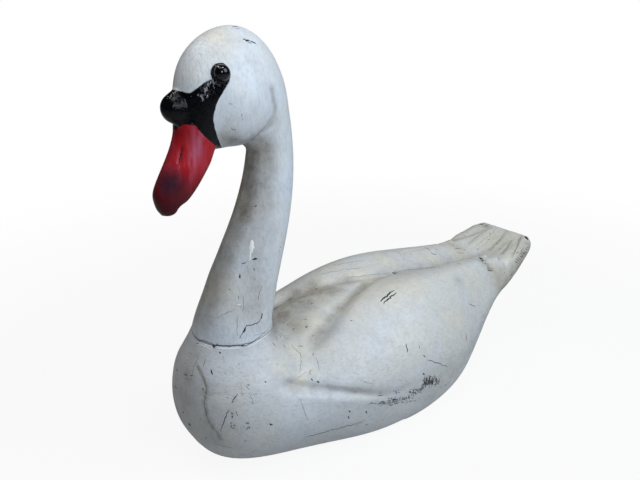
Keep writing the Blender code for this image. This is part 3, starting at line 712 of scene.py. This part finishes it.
def dress_in_white(name, clean, grain, stroke_share):
    """The worn white paint as a material, painted shade included, with its tree, its shader and its own
    coordinates.
    """
    made, tree, shader = new_material(name)
    coordinates = own_places(tree)
    colour, rough, height = white_paint(tree, coordinates, clean, grain, stroke_share)
    feed(tree, shader, {
        "Base Color": colour, "Roughness": rough, "Specular IOR Level": PAINT_SPECULAR,
    })
    roughen(tree, shader, height, PAINT_BUMP, PAINT_RELIEF)
    return made, tree, shader, coordinates


body_material = dress_in_white("worn_white_body_with_painted_shade", CLEAN_WHITE, (1.0, 0.45, 1.0), 0.36)[0]
body.data.materials.append(body_material)
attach(body, "root")
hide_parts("body")

# Neck and head.  Carved in one with its cheeks, the knob and the bill, and pegged on the body.
# White like the body, painted lighter and bluer as painted light and darker under the cheek and down the
# neck as painted shade, with a glossy black mask and knob and a satin red bill.
head = copy_of_node("neck_and_head", "carved_neck_and_head")
bevel_rim(head, JOINT_Z, RIM_ROUNDING)
subdivide(head, SMOOTH_LEVELS)
head_surface = surface_of(head)

CHEEK_EDGE = (250, 142, 258, 136.5, 264, 131, 270.5, 125, 274, 118, 275, 108, 273.5, 98, 272, 90)
carve(head, drawn_on(head_surface, CHEEK_EDGE), 0.0022, 0.0042)
NOSTRIL = (181.5, 148.5, 180, 155, 179, 162)
carve(head, drawn_on(head_surface, NOSTRIL), 0.0014, 0.0020)

# The bill ends in a rounded nail, with a shallow notch across its underside before it.
NAIL_NOTCH = ((0.0030, -0.0650, 0.3525), (0.0115, -0.0650, 0.3550))
notch_line = [Vector((side, deep + NECK_Y, tall)) for side, deep, tall in NAIL_NOTCH]
carve(head, notch_line, 0.0050, 0.0055)
HEAD_HOLLOW_DEPTH = 0.0026
mark_hollows(head, HEAD_HOLLOW_DEPTH)

HEAD_SCUFFS = (
    (237, 26, 5, 0.7), (249, 41, 4, 0.6), (240, 277, 3, 0.5), (242, 330, 6, 0.4), (252, 324, 5, 0.4),
    (233, 108, 6, 0.3),
)
# Dirt and painted shade on the head: a painted shadow under the cheek's overhang and along its edge,
# painted shade down the front and side of the neck, and some greying on the crown.
HEAD_GRIME_AND_SHADE = (
    (226, 140, 8, 0.6), (233, 141, 10, 0.85), (213, 34, 14, 0.22), (245, 144, 10, 0.6), (262, 132, 10, 0.4),
    (272, 120, 8, 0.35), (230, 40, 30, 0.26),
)
NECK_SHADE_AND_SOIL = (
    (9, 0.62, 220, 137, 233, 142, 246, 141, 257, 137), (13, 0.62, 262, 140, 268, 152, 268, 168, 264, 185),
    (3.5, 0.45, *CHEEK_EDGE), (18, 0.95, 251, 149, 250, 170, 249, 195, 244, 215),
    (18, 0.62, 243, 215, 236, 235, 226, 258, 215, 288, 206, 316),
    (20, 0.46, 264, 190, 260, 220, 255, 250, 256, 285, 254, 310),
)
HEAD_YELLOWED = (
    (213, 34, 22, 0.8), (190, 60, 22, 0.5), (230, 135, 20, 0.4), (245, 160, 30, 0.8), (242, 200, 35, 0.6),
    (232, 240, 35, 0.4), (215, 290, 35, 0.4),
)
spread_share(head, "yellowed", HEAD_YELLOWED, both_sides=True)
spread_share(head, "scuff", HEAD_SCUFFS)
# The next line gives painted highlights: glints along the brush strokes of the mask and at its edge by the
# bill.
MASK_GLINT_LINES = ((6.5, 1, 214, 80, 208, 87, 201, 97), (2, 0.8, 193, 124, 197, 128))
# The next lines give a painted reflection on the bill: the pinkish sheen of the cool light down its side
# and a small painted highlight below the nostril.
BILL_REFLECTION_STREAK = ((6.5, 1, 200, 132, 198, 145, 193, 158, 187, 170, 184, 182), (2, 0.9, 181, 166, 178, 168))
spread_share(head, "glint_share", (), MASK_GLINT_LINES)
spread_share(head, "pink_reflection", (), BILL_REFLECTION_STREAK, both_sides=True)
spread_share(head, "grime_and_shade", HEAD_GRIME_AND_SHADE, NECK_SHADE_AND_SOIL, both_sides=True)

# Edges of the painted mask and bill, as curves through points in millimetres, which lie within
# HEIGHTS and DEPTHS in metres.  A height is counted from the floor and a depth from the neck's middle
# line.  MASK_REAR goes height, depth, height, depth; the other two go depth, height, depth, height.
HEIGHTS = (0.400, 0.510)
DEPTHS = (-0.080, 0.000)
MASK_REAR = (
    415, -8, 419.4, -11.8, 425.9, -17.2, 432.9, -21.6, 440.6, -25, 447.8, -27.4, 456.2, -28.7, 465.5,
    -26.8, 471.8, -24.6, 477.9, -21.2, 483, -18, 488.9, -13.4, 492.9, -10.4, 500, -7.5,
)
MASK_TOP = (
    -70, 485, -56.4, 484.6, -52.4, 483.3, -49.3, 482.6, -47.1, 483.7, -43.8, 486.9, -40.1, 490, -35.1,
    493.9, -29.1, 496.2, -10, 499,
)
BILL_TOP = (
    -70, 441, -60.1, 441.4, -58.9, 445.2, -56.6, 448.1, -50.9, 448.8, -46.8, 447.6, -42.4, 441.9, -37.2,
    434.8, -29.9, 428.2, -17.5, 418.5, -10, 412,
)
BILL_BACK_Y = -0.0160
BILL_LOWEST_Z = 0.3400
EYE_CENTRE = (0.0385, -0.0190, 0.5030)
EYE_RADIUS = 0.0100
EDGE_SOFT = 0.0007
EYE_RING = (EYE_RADIUS + 0.0022, EYE_RADIUS + 0.0012)
WAVER_SCALE = 160.0
WAVER = 0.0016


def drawn_edge(tree, along, row, spots, values):
    """A painted edge as a curve; gives the edge's place, within values, for a place within spots."""
    made = add_node(tree, "ShaderNodeFloatCurve")
    low, out_low = spots[0], values[0]
    span = spots[1] - low
    reach = values[1] - out_low
    curve = made.mapping.curves[0]
    points = corners(np.array(row) * MILLIMETRE)
    points = [((spot - low) / span, (value - out_low) / reach) for spot, value in points]
    curve.points[0].location = points[0]
    curve.points[1].location = points[-1]
    for point in points[1:-1]:
        curve.points.new(*point)
    made.mapping.update()
    scaled = maths(tree, "DIVIDE", maths(tree, "SUBTRACT", along, low), span, clamp=True)
    feed(tree, made, {"Value": scaled})
    return times_add(tree, made.outputs[0], reach, out_low)


def inside(tree, edge, value):
    """Share 1 where value lies below the edge, with a soft brushed border."""
    return ramp(tree, maths(tree, "SUBTRACT", edge, value), -EDGE_SOFT, EDGE_SOFT)


painted = dress_in_white("worn_white_head_with_painted_light_and_shade", HEAD_WHITE_PAINTED_LIGHTER, (1.0, 1.0, 0.40), 0.30)
head_material, tree, white_shader, object_places = painted
centred = add_node(tree, "ShaderNodeMapping", {
    "Vector": object_places, "Location": (0.0, -NECK_Y, 0.0),
})
waver = add_node(tree, "ShaderNodeTexNoise", {
    "Vector": object_places, "Scale": WAVER_SCALE, "Detail": 2.0,
})
shaken = add_node(tree, "ShaderNodeVectorMath", {
    0: waver.outputs["Color"], 1: (0.0, WAVER, WAVER), 2: centred.outputs["Vector"],
}, operation="MULTIPLY_ADD")
parts = add_node(tree, "ShaderNodeSeparateXYZ", {0: shaken.outputs[0]})
side, deep, tall = parts.outputs
deep = maths(tree, "SUBTRACT", deep, 0.5 * WAVER)
tall = maths(tree, "SUBTRACT", tall, 0.5 * WAVER)
rear_edge = drawn_edge(tree, tall, MASK_REAR, HEIGHTS, DEPTHS)
top_edge = drawn_edge(tree, deep, MASK_TOP, DEPTHS, HEIGHTS)
bill_edge = drawn_edge(tree, deep, BILL_TOP, DEPTHS, HEIGHTS)
on_head = ramp(tree, tall, BILL_LOWEST_Z, BILL_LOWEST_Z + MILLIMETRE)
in_bill = times(tree, inside(tree, bill_edge, tall), inside(tree, BILL_BACK_Y, deep))
in_bill = times(tree, in_bill, on_head)
in_mask = times(tree, inside(tree, rear_edge, deep), inside(tree, top_edge, tall))
in_mask = times(tree, in_mask, on_head)
mirrored = add_node(tree, "ShaderNodeCombineXYZ", {
    0: maths(tree, "ABSOLUTE", side), 1: deep, 2: tall,
})
to_eye = distance_from(tree, mirrored.outputs[0], EYE_CENTRE)
in_mask = maths(tree, "MAXIMUM", in_mask, ramp(tree, to_eye, *EYE_RING))

# The bill: red with a pinkish painted reflection of the cool light down each side, painted shade that
# darkens its lower part towards its end, and sooty at the tip.
BILL_RED = (0.375, 0.014, 0.020, 1.0)
BILL_PINK_REFLECTION = (0.420, 0.110, 0.175, 1.0)
BILL_SHADE_RED = (0.070, 0.006, 0.008, 1.0)
BILL_SOOT = (0.026, 0.014, 0.024, 1.0)
SMUDGE_CENTRE = (0.0110, -0.0760, 0.3850)
SMUDGE_RADIUS = 0.0270
BILL_SHADE_HEIGHTS = (0.412, 0.358)
red_shader = add_node(tree, "ShaderNodeBsdfPrincipled")
smudge_gap = distance_from(tree, mirrored.outputs[0], SMUDGE_CENTRE)
smudge = ramp(tree, smudge_gap, SMUDGE_RADIUS, SMUDGE_RADIUS * 0.15)
sooty = times_add(tree, noise(tree, object_places, 190.0, 5.0, 0.7), 0.8, 0.50)
soot = times(tree, smudge, sooty, clamp=True)
pink_reflection_share = ramp(tree, noise(tree, stretched(tree, object_places, (1.0, 1.0, 0.22)), 110.0, 4.0), 0.40, 0.66)
pink_reflection_share = times(tree, pink_reflection_share, times_add(tree, share_of(tree, "pink_reflection"), 0.75, 0.18))
red = blend_colours(tree, pink_reflection_share, BILL_RED, BILL_PINK_REFLECTION)
# Painted shade: the bill darkens lower down, less so under the pinkish reflection.
low_on_bill = ramp(tree, tall, *BILL_SHADE_HEIGHTS)
bill_shade_share = times_add(tree, pink_reflection_share, -0.25, low_on_bill, clamp=True)
red = blend_colours(tree, bill_shade_share, red, BILL_SHADE_RED)
red = blend_colours(tree, soot, red, BILL_SOOT)
feed(tree, red_shader, {"Base Color": red, "Roughness": 0.22, "Specular IOR Level": 0.13})
bill_height = noise(tree, stretched(tree, object_places, (1.0, 1.0, 0.4)), 160.0, 5.0, 0.6)
roughen(tree, red_shader, bill_height, 0.45, 0.0008)

# The mask and knob: gloss black laid on with a brush, with grey painted highlights where the brush strokes
# and the edge by the bill catch the light.
MASK_BLACK = (0.0015, 0.0015, 0.0022, 1.0)
BRUSHED_BLACK = (0.004, 0.004, 0.006, 1.0)
GLINT_GREY = (0.260, 0.270, 0.290, 1.0)
BRUSH_TURN = (0.6, 0.0, 0.0)
black_shader = add_node(tree, "ShaderNodeBsdfPrincipled")
brushed = noise(tree, stretched(tree, object_places, (0.5, 1.0, 0.45), BRUSH_TURN), 330.0, 4.0, 0.6)
black = blend_colours(tree, brushed, MASK_BLACK, BRUSHED_BLACK)
mask_glints = noise(tree, stretched(tree, object_places, (0.5, 1.0, 0.35), BRUSH_TURN), 700.0, 3.0, 0.6)
mask_glints = ramp(tree, times_add(tree, share_of(tree, "glint_share"), 0.22, mask_glints), 0.74, 0.80)
feed(tree, black_shader, {
    "Base Color": blend_colours(tree, mask_glints, black, GLINT_GREY), "Roughness": 0.07,
    "Specular IOR Level": 0.18,
})
brush_marks = noise(tree, stretched(tree, object_places, (0.35, 1.0, 0.5), BRUSH_TURN), 170.0, 3.0, 0.55)
roughen(tree, black_shader, times_add(tree, brush_marks, 2.0, brushed), 0.60, 0.0013)

masked = lay_over(tree, in_mask, white_shader.outputs[0], black_shader.outputs[0])
masked = lay_over(tree, in_bill, masked, red_shader.outputs[0])
tree.links.new(masked, tree.nodes["Material Output"].inputs["Surface"])
head.data.materials.append(head_material)
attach(head, "root")
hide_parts("neck_and_head")

# Eyes.  Round balls of black glass with a high gloss, each pressed into a socket in the head.  A
# thin rim of black paint or putty closes the gap round each ball.


def mottled(name, scale, detail, first, second, roughness, stretch=None, specular=None):
    """A material of two colours that a fine noise mixes."""
    made, tree, shader = new_material(name)
    coordinates = own_places(tree)
    if stretch:
        coordinates = stretched(tree, coordinates, stretch)
    speckle = noise(tree, coordinates, scale, detail)
    feed(tree, shader, {
        "Base Color": blend_colours(tree, speckle, first, second), "Roughness": roughness,
    })
    if specular is not None:
        feed(tree, shader, {"Specular IOR Level": specular})
    return made


EYE_BLACK = (0.0015, 0.0015, 0.002, 1.0)
eye_material = mottled("gloss_black_eye", 300.0, 3.0, EYE_BLACK, BRUSHED_BLACK, 0.05, specular=0.35)
EYE_BALL_RADIUS = 0.0089
EYE_BALL_OUT = 0.0010
COLLAR_RADIUS = 0.0085
COLLAR_THICKNESS = 0.0016
COLLAR_OUT = -0.0022
COLLAR_BACK = 0.0006
PROBE_OUT = Vector((0.02, 0.0, 0.0))


def finish_eye_piece(name):
    """Smooth and name the piece just made, put its origin at the world's and paint it black."""
    piece = bpy.context.active_object
    piece.name = name
    bpy.ops.object.shade_smooth()
    bpy.ops.object.transform_apply(location=True, rotation=True, scale=True)
    piece.data.materials.append(eye_material)
    return piece


for name, sign in (("left_eye", 1.0), ("right_eye", -1.0)):
    middle = Vector((sign * EYE_CENTRE[0], EYE_CENTRE[1] + NECK_Y, EYE_CENTRE[2]))
    facing = head_surface.find_nearest(middle + sign * PROBE_OUT)[1]
    facing = Vector((sign * abs(facing.x), facing.y, facing.z)).normalized()
    bpy.ops.mesh.primitive_uv_sphere_add(segments=48, ring_count=24, radius=EYE_BALL_RADIUS,
                                         location=middle + Vector((sign * EYE_BALL_OUT, 0.0, 0.0)),
                                         rotation=(0.0, math.radians(90.0), 0.0))
    ball = finish_eye_piece(name + "_ball")
    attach(ball, "root")
    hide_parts(name)
    collar_place = middle + facing * COLLAR_OUT + Vector((0.0, COLLAR_BACK, -COLLAR_BACK))
    bpy.ops.mesh.primitive_torus_add(major_segments=48, minor_segments=12, major_radius=COLLAR_RADIUS,
                                     minor_radius=COLLAR_THICKNESS, location=collar_place,
                                     rotation=facing.to_track_quat("Z", "Y").to_euler())
    collar = finish_eye_piece(name + "_collar")
    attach(collar, "root")

# Neck dowel.  A bare turned hardwood peg, glued into a hole in the neck and one in the body, which
# it holds together.  It is hidden by them and keeps its CAD shape.
DARK_WOOD = (0.33, 0.19, 0.09, 1.0)
PALE_WOOD = (0.56, 0.38, 0.21, 1.0)
ALONG_DOWEL = (1.0, 1.0, 0.06)
dowel_material = mottled("bare_dowel_wood", 420.0, 4.0, DARK_WOOD, PALE_WOOD, 0.7, ALONG_DOWEL)
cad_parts["neck_dowel"].material_slots[0].material = dowel_material

# Cracks and scratches.  Dark lines where the paint has split or been struck down to the wood, each
# a thin sliver that lies in the surface: along the neck joint, over the breast and on the flank.  Two thin
# ones are painted shade along the edges of the step where the wing ends.
# A sliver is a tube sunk by SUNK_SHARE of its radius, and about SHOWN_SHARE of its width shows.
GRAIN = np.random.default_rng(11)
SURFACES = (surface_of(head), surface_of(body))
SUNK_SHARE = 0.62
SHOWN_SHARE = 0.69
BLACK_SPREAD = 1.45
SLIVER_PROUD = 0.00015
SLIVER_END = 0.30
SLIVER_TAPER = 0.6
CRACK_STEP = 1.6
CRACK_SHAKE = 0.35
LEAN_SWING = 12.0
WIDTH_SWING = (0.75, 1.25)
MARK_WIDTH_SWING = (0.6, 1.3)
MARK_LENGTH_SWING = (0.5, 1.3)
MARK_SHAKE = 0.2
STRAY_STEPS = 4


def nearest_hit(across, down):
    """Where a place of the picture falls on the swan, whichever piece is in front."""
    best = None
    for surface in SURFACES:
        spot, normal, _, distance = surface.ray_cast(CAMERA_PLACE, photo_ray(across, down))
        if spot is not None and (best is None or distance < best[2]):
            best = (spot, normal, distance)
    return best


def crack_line(row, width, shake=CRACK_SHAKE):
    """One crack drawn on the picture, from its places; width in millimetres, shake in pixels."""
    pixels = corners(row)
    line = []
    for start, end in zip(pixels, pixels[1:]):
        parts = max(int(round(math.dist(start, end) / CRACK_STEP)), 1)
        for index in range(parts + (1 if end == pixels[-1] else 0)):
            share = index / parts
            across = start[0] + (end[0] - start[0]) * share + GRAIN.normal(0.0, shake)
            down = start[1] + (end[1] - start[1]) * share + GRAIN.normal(0.0, shake)
            hit = nearest_hit(across, down)
            if hit is not None:
                line.append(hit[:2])
    return line, width


def stray_line(surface, spot, normal, turn, length, width):
    """A short scratch from a point of a surface; its heading is a turn about the normal."""
    aside = normal.orthogonal().normalized()
    aside.rotate(Matrix.Rotation(turn, 3, normal))
    line = []
    for index in range(STRAY_STEPS + 1):
        near, facing, _, _ = surface.find_nearest(spot + aside * (length * index / STRAY_STEPS))
        line.append((near, facing))
    return line, width


def lay_slivers(name, lines):
    """Make one mesh of closed slivers, tapered at both ends and sunk most of the way in.

    What still stands proud is pressed down to the surface, and no point leaves the swan's own box.
    """
    data = bpy.data.curves.new(name, "CURVE")
    data.dimensions = "3D"
    data.bevel_depth = 1.0
    data.bevel_resolution = 1
    data.use_fill_caps = True
    for line, width in lines:
        if len(line) < 2:
            continue
        spline = data.splines.new("POLY")
        spline.points.add(len(line) - 1)
        for index, (spot, normal) in enumerate(line):
            share = index / (len(line) - 1)
            taper = SLIVER_END + (1.0 - SLIVER_END) * math.sin(math.pi * share) ** SLIVER_TAPER
            radius = 0.5 * width * MILLIMETRE * taper * GRAIN.uniform(*WIDTH_SWING) / SHOWN_SHARE
            place = spot - normal * radius * SUNK_SHARE
            spline.points[index].co = (place.x, place.y, place.z, 1.0)
            spline.points[index].radius = radius
    piece = bpy.data.objects.new(name, data)
    bpy.context.scene.collection.objects.link(piece)
    pick(piece)
    bpy.ops.object.convert(target="MESH")
    piece = bpy.context.active_object
    piece.name = name
    for vertex in piece.data.vertices:
        hits = [surface.find_nearest(vertex.co) for surface in SURFACES]
        near, facing, _, _ = min(hits, key=lambda hit: hit[3])
        proud = (vertex.co - near).dot(facing)
        if proud > SLIVER_PROUD:
            vertex.co -= facing * (proud - SLIVER_PROUD)
        for axis in range(3):
            vertex.co[axis] = min(max(vertex.co[axis], cad_low[axis]), cad_high[axis])
    bpy.ops.object.shade_smooth()
    return piece


def cluster(across, down, wide, tall, count, length, width, lean=None):
    """Small marks scattered over an oval of the picture, all leaning one way if lean is given."""
    lines = []
    for _ in range(count):
        turn = GRAIN.uniform(0.0, math.tau)
        away = math.sqrt(GRAIN.uniform())
        x = across + 0.5 * wide * away * math.cos(turn)
        y = down + 0.5 * tall * away * math.sin(turn)
        if lean is None:
            heading = GRAIN.uniform(0.0, math.tau)
        else:
            heading = math.radians(lean + GRAIN.normal(0.0, LEAN_SWING))
        reach = 0.5 * length * GRAIN.uniform(*MARK_LENGTH_SWING)
        step_x = reach * math.cos(heading)
        step_y = reach * math.sin(heading)
        ends = (x - step_x, y - step_y, x + step_x, y + step_y)
        lines.append(crack_line(ends, width * GRAIN.uniform(*MARK_WIDTH_SWING), MARK_SHAKE))
    return lines


SEAM_CRACK = (
    191.4, 328.7, 193.7, 336.4, 199.4, 341.5, 202.7, 340.3, 207.8, 342.1, 212.5, 343.8, 214.5, 346.8, 216.5,
    345.5, 231.9, 345.8, 242.3, 345.3, 246.6, 345.5, 252, 342.5, 262, 335.1, 270, 327.1, 271.4, 323.7,
)
NECK_CRACK = (262, 313.5, 261.7, 318, 258.7, 321.7, 252, 324.7, 246.6, 325.7, 244.3, 329.7, 239.6, 339)

# Each crack is its width in millimetres and then its row of places on the picture.
BLACK_LINES = (
    (0.65, *SEAM_CRACK), (1.8, 213.2, 344.5, 214.6, 348.6), (1.8, 240.5, 345.2, 244, 346), (1, *NECK_CRACK),
    (1.8, 262.2, 313, 261.4, 318.5), (2.2, 245.2, 327.5, 243.2, 332.5), (2.2, 252, 259.8, 257.4, 259),
    (0.9, 241.8, 263.4, 246.4, 262.4), (1.8, 239.8, 274.6, 240.4, 279), (1, 254, 206.2, 257, 205.8),
    (1.4, 231.7, 26.9, 237, 26.6, 242.4, 25.6), (0.8, 234, 28.6, 240, 28.4),
    (1.7, 242.4, 39.2, 246.5, 40.2, 250.5, 41), (1.2, 249.5, 40.6, 256, 43.6),
    (0.7, 246.8, 41.6, 252, 43.4), (2.4, 380.6, 301.6, 387, 296, 393.6, 290.4),
    (2, 383.6, 303.2, 390, 297.8, 396, 292.6), (0.9, 237.7, 393.3, 231.4, 403.7),
    (0.8, 229, 408.8, 220.5, 430), (0.8, 304.3, 437.5, 314.7, 434.7, 343.4, 427.2, 365, 421),
    (2.6, 175.2, 385, 176.6, 388.2), (2, 182, 410.5, 183.6, 413.4), (3.2, 188.2, 422.4, 191.2, 426.6),
    (1.6, 218.8, 352, 220.2, 354.2), (1.4, 210.6, 369, 212.4, 375.2), (1.6, 202.4, 388.2, 203.8, 390.2),
    (1.2, 264, 381.4, 266.6, 382.6), (1.2, 238.4, 362.8, 240.2, 364.2), (1.8, 270, 423.4, 272.4, 424.8),
    (1.1, 406, 343.6, 407.7, 352.7), (1, 419.3, 345.5, 420.2, 349), (1.6, 423.4, 354.8, 424.8, 357.4),
    (1, 466, 334, 466.4, 340), (0.9, 468.6, 303.6, 476, 307), (0.8, 427.7, 360, 447.7, 367),
    (2, 365, 411.4, 367.4, 413), (1.8, 347.2, 416.2, 349, 418.4), (1.6, 348.8, 410.2, 350.6, 412.2),
    (2.4, 423, 372.6, 425.2, 374.8), (1.8, 311.2, 378, 313, 380.4), (1.8, 317, 381.2, 319.4, 383),
    (1, 425, 247.5, 431, 250), (1, 430.5, 252.5, 437, 254.5), (1, 455, 248.9, 462, 248.7),
    (1, 456.6, 253, 464.7, 253.6), (1.4, 315.2, 288.4, 316.8, 289.8), (1.4, 311.2, 302.4, 312.8, 303.8),
    (1.4, 341.2, 307.4, 342.8, 308.8), (2.2, 391.4, 272.6, 396, 272.9), (4.4, 478.8, 224.2, 484, 224.4),
    (5, 524.8, 236.4, 528.6, 240.2), (4.2, 479, 257.6, 481.4, 260.2), (4.2, 482.2, 260.2, 484, 261.8),
    # After the first mark on the next row, two thin lines are painted shade along the edges of the step
    # where the wing ends.
    (3.6, 485, 262.4, 486.6, 263.8), (0.7, 487.6, 264.6, 487.8, 270.4), (0.7, 488, 270.6, 493, 271),
    (3, 182.4, 147.5, 181, 155, 178.6, 163.5),
)

# Clusters of small marks, as across, down, width and height of the oval in pixels, how many marks,
# their length in pixels and width in millimetres, and the way they lean in degrees, if any.
CLUSTERS = (
    (233.5, 414.5, 8, 6, 9, 2.6, 1.1), (233, 425, 5, 7, 8, 2.4, 1.1), (250, 426, 12, 9, 11, 2.6, 1.2),
    (253, 397, 9, 15, 6, 2.6, 0.8), (401, 400, 30, 6, 44, 2.2, 2, -22),
    (388, 403.5, 36, 4, 16, 4.5, 0.9, -16), (416.5, 391, 15, 6, 30, 2.4, 2.2),
    (430, 381.5, 16, 11, 26, 2.4, 2.2), (432, 381, 18, 8, 26, 7, 1.1, 94),
)
LATER_CLUSTERS = (
    (396.5, 391, 8, 5, 7, 2.6, 1.2), (309.5, 372.5, 8, 5, 6, 2.4, 1), (188.5, 377, 9, 12, 8, 3, 1),
    (178, 373, 3, 16, 5, 3.6, 0.9, 80), (523, 252.5, 12, 9, 9, 2.6, 1, -30), (233, 105, 8, 4, 3, 3, 0.6),
    (225, 116, 6, 4, 3, 3, 0.6), (243, 116, 4, 8, 3, 4, 0.6, 90), (233, 130, 6, 3, 4, 2.4, 0.8),
)
TAIL_DASHES = 9
TAIL_DASH_START = (516.5, 262.0)
TAIL_DASH_STEP = (1.6, -1.7)
TAIL_DASH_ENDS = (-2.4, -1.4, 1.4, 1.2)
TAIL_DASH_WIDTH = 1.3
TAIL_DASH_SHAKE = 0.15
lines = [crack_line(row, width * BLACK_SPREAD) for width, *row in BLACK_LINES]
for oval in CLUSTERS:
    lines += cluster(*oval)
for index in range(TAIL_DASHES):
    across = TAIL_DASH_START[0] + TAIL_DASH_STEP[0] * index
    down = TAIL_DASH_START[1] + TAIL_DASH_STEP[1] * index
    row = tuple(np.array(TAIL_DASH_ENDS) + (across, down, across, down))
    lines.append(crack_line(row, TAIL_DASH_WIDTH, TAIL_DASH_SHAKE))
for oval in LATER_CLUSTERS:
    lines += cluster(*oval)

# The joint's crack goes on round the side that the camera doesn't see, broken in two places.
SEAM_RADIUS = 0.0531
SEAM_MIDDLE_Y = NECK_Y - 0.0040
SEAM_SPANS = ((146, 214), (222, 262), (268, 318))
SEAM_WIDTH = 1.1
for first_turn, last_turn in SEAM_SPANS:
    line = []
    for turn in range(first_turn, last_turn, 3):
        out = Vector((math.sin(math.radians(turn)), -math.cos(math.radians(turn)), 0.0))
        spot = out * SEAM_RADIUS + Vector((0.0, SEAM_MIDDLE_Y, JOINT_Z + GRAIN.normal(0.0, 0.0004)))
        near = SURFACES[0].find_nearest(spot)[0]
        line.append((near, out))
    lines.append((line, SEAM_WIDTH))

# Stray scratches all over, but none on the face, near the floor or across the joint.
STRAY_MARKS = 120
STRAY_LENGTHS = (0.0015, 0.010)
STRAY_WIDTHS = (0.6, 1.3)
STRAY_LOWEST_Z = 0.012
FACE_LOWEST_Z = 0.36
CLEAR_OF_JOINT = 0.004
for piece, surface in ((head, SURFACES[0]), (body, SURFACES[1])):
    count = STRAY_MARKS if piece is body else STRAY_MARKS // 4
    for index in GRAIN.choice(len(piece.data.vertices), count, replace=False):
        vertex = piece.data.vertices[int(index)]
        spot, normal = vertex.co.copy(), vertex.normal.copy()
        on_face = piece is head and spot.z > FACE_LOWEST_Z
        at_joint = piece is body and spot.z > JOINT_Z - CLEAR_OF_JOINT
        if spot.z < STRAY_LOWEST_Z or on_face or at_joint:
            continue
        turn = GRAIN.uniform(0.0, math.tau)
        length = GRAIN.uniform(*STRAY_LENGTHS)
        lines.append(stray_line(surface, spot, normal, turn, length, GRAIN.uniform(*STRAY_WIDTHS)))
dark_slivers = lay_slivers("black_cracks_and_shade_edges", lines)

CRACK_BLACK = (0.004, 0.004, 0.004, 1.0)
CRACK_BROWN = (0.022, 0.019, 0.017, 1.0)
dark_slivers.data.materials.append(mottled("split_paint_and_shade_edge", 240.0, 3.0, CRACK_BLACK, CRACK_BROWN, 0.8))
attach(dark_slivers, "root")

# Worn lines.  Older splits and knife lines that dirt has filled, laid like the black lines: the long one
# down the breast, hairlines in the neck and the shoulder, and the cuts between the feathers.  A few are
# painted shade instead: the lines across the back where one wing meets the other, and the notch's upper
# edge.
GREY_WORN_AND_SHADE_LINES = (
    (1.1, *SPLIT_IN_BREAST), (0.9, 198.7, 354.3, 193, 370, 191.8, 380.7),
    (0.7, 238, 315, 237.4, 325, 236.6, 336), (0.8, 236, 309, 226, 313, 215, 318),
    (0.9, 262, 286, 259, 294, 258, 301), (0.6, 243, 296, 244, 306, 242, 312), (0.9, 215, 444, 231, 448),
    (0.8, 291, 345, 300, 354, 301, 359, 300, 373), (0.7, 316, 357, 319, 369),
    (0.9, 333, 265, 350, 262, 366, 260.6), (0.9, 315, 276, 340, 270, 369, 266.7),
    (0.9, 334, 292.5, 344, 289.5), (0.9, 345, 278, 374, 274.2, 390, 272.9),
    (0.9, 396, 272.4, 413, 269.2, 442, 266.6), (1.4, *FEATHER_CUTS[0]), (1.2, *FEATHER_CUTS[1]),
    (0.9, *FEATHER_CUTS[2]), (0.9, 497.5, 227.5, 488, 237, 476, 246), (0.9, *FEATHER_CUTS[3]),
    (0.9, *FEATHER_CUTS[4]), (0.9, 498.6, 276, 499.6, 285), (0.7, 300, 399, 304, 410, 308, 421),
    (0.6, 359, 379, 366, 382, 373, 384), (0.7, 249, 392, 254, 404), (0.5, 240, 383, 243, 396),
    (0.7, 255, 336, 268, 330.5), (0.4, *NOTCH_UPPER[:6]),
)
worn = lay_slivers("worn_and_shade_lines", [crack_line(row, width) for width, *row in GREY_WORN_AND_SHADE_LINES])
DEEP_GRIME_AND_SHADE = (0.120, 0.112, 0.102, 1.0)
PALE_GRIME_AND_SHADE = (0.300, 0.285, 0.265, 1.0)
worn.data.materials.append(mottled("grimy_split_and_shade_line", 200.0, 3.0, DEEP_GRIME_AND_SHADE, PALE_GRIME_AND_SHADE, 0.75))
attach(worn, "root")

# Fresh chips.  Knocks that lay bare the clean pale filler, the largest of them on the front of the neck.
# The thin rows under the joint are the chipped edges of the paint below the crack, painted bright as
# painted highlights.  Each is a flake-thin sliver that lies in the surface.
CHIP_AND_HIGHLIGHT_LINES = (
    (7.6, 251.7, 239.4, 251.2, 246, 250.4, 254), (2.6, 250.4, 251, 249.9, 261),
    (1.2, 196.6, 344.2, 204, 346, 212, 349.4), (2, 236.5, 304.5, 241, 305),
    (1.3, 216, 348.4, 229, 348.8, 241, 348.2), (1.2, 247, 347.6, 256, 343.2, 266, 335.2),
)
chips = lay_slivers("fresh_chips_and_edge_highlights", [crack_line(row, width, 0.1) for width, *row in CHIP_AND_HIGHLIGHT_LINES])
FILLER_AND_HIGHLIGHT_GREY = (0.72, 0.73, 0.73, 1.0)
FILLER_AND_HIGHLIGHT_WHITE = (0.86, 0.86, 0.84, 1.0)
chips.data.materials.append(mottled("clean_filler_and_edge_highlight", 260.0, 4.0, FILLER_AND_HIGHLIGHT_GREY, FILLER_AND_HIGHLIGHT_WHITE, 0.6))
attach(chips, "root")
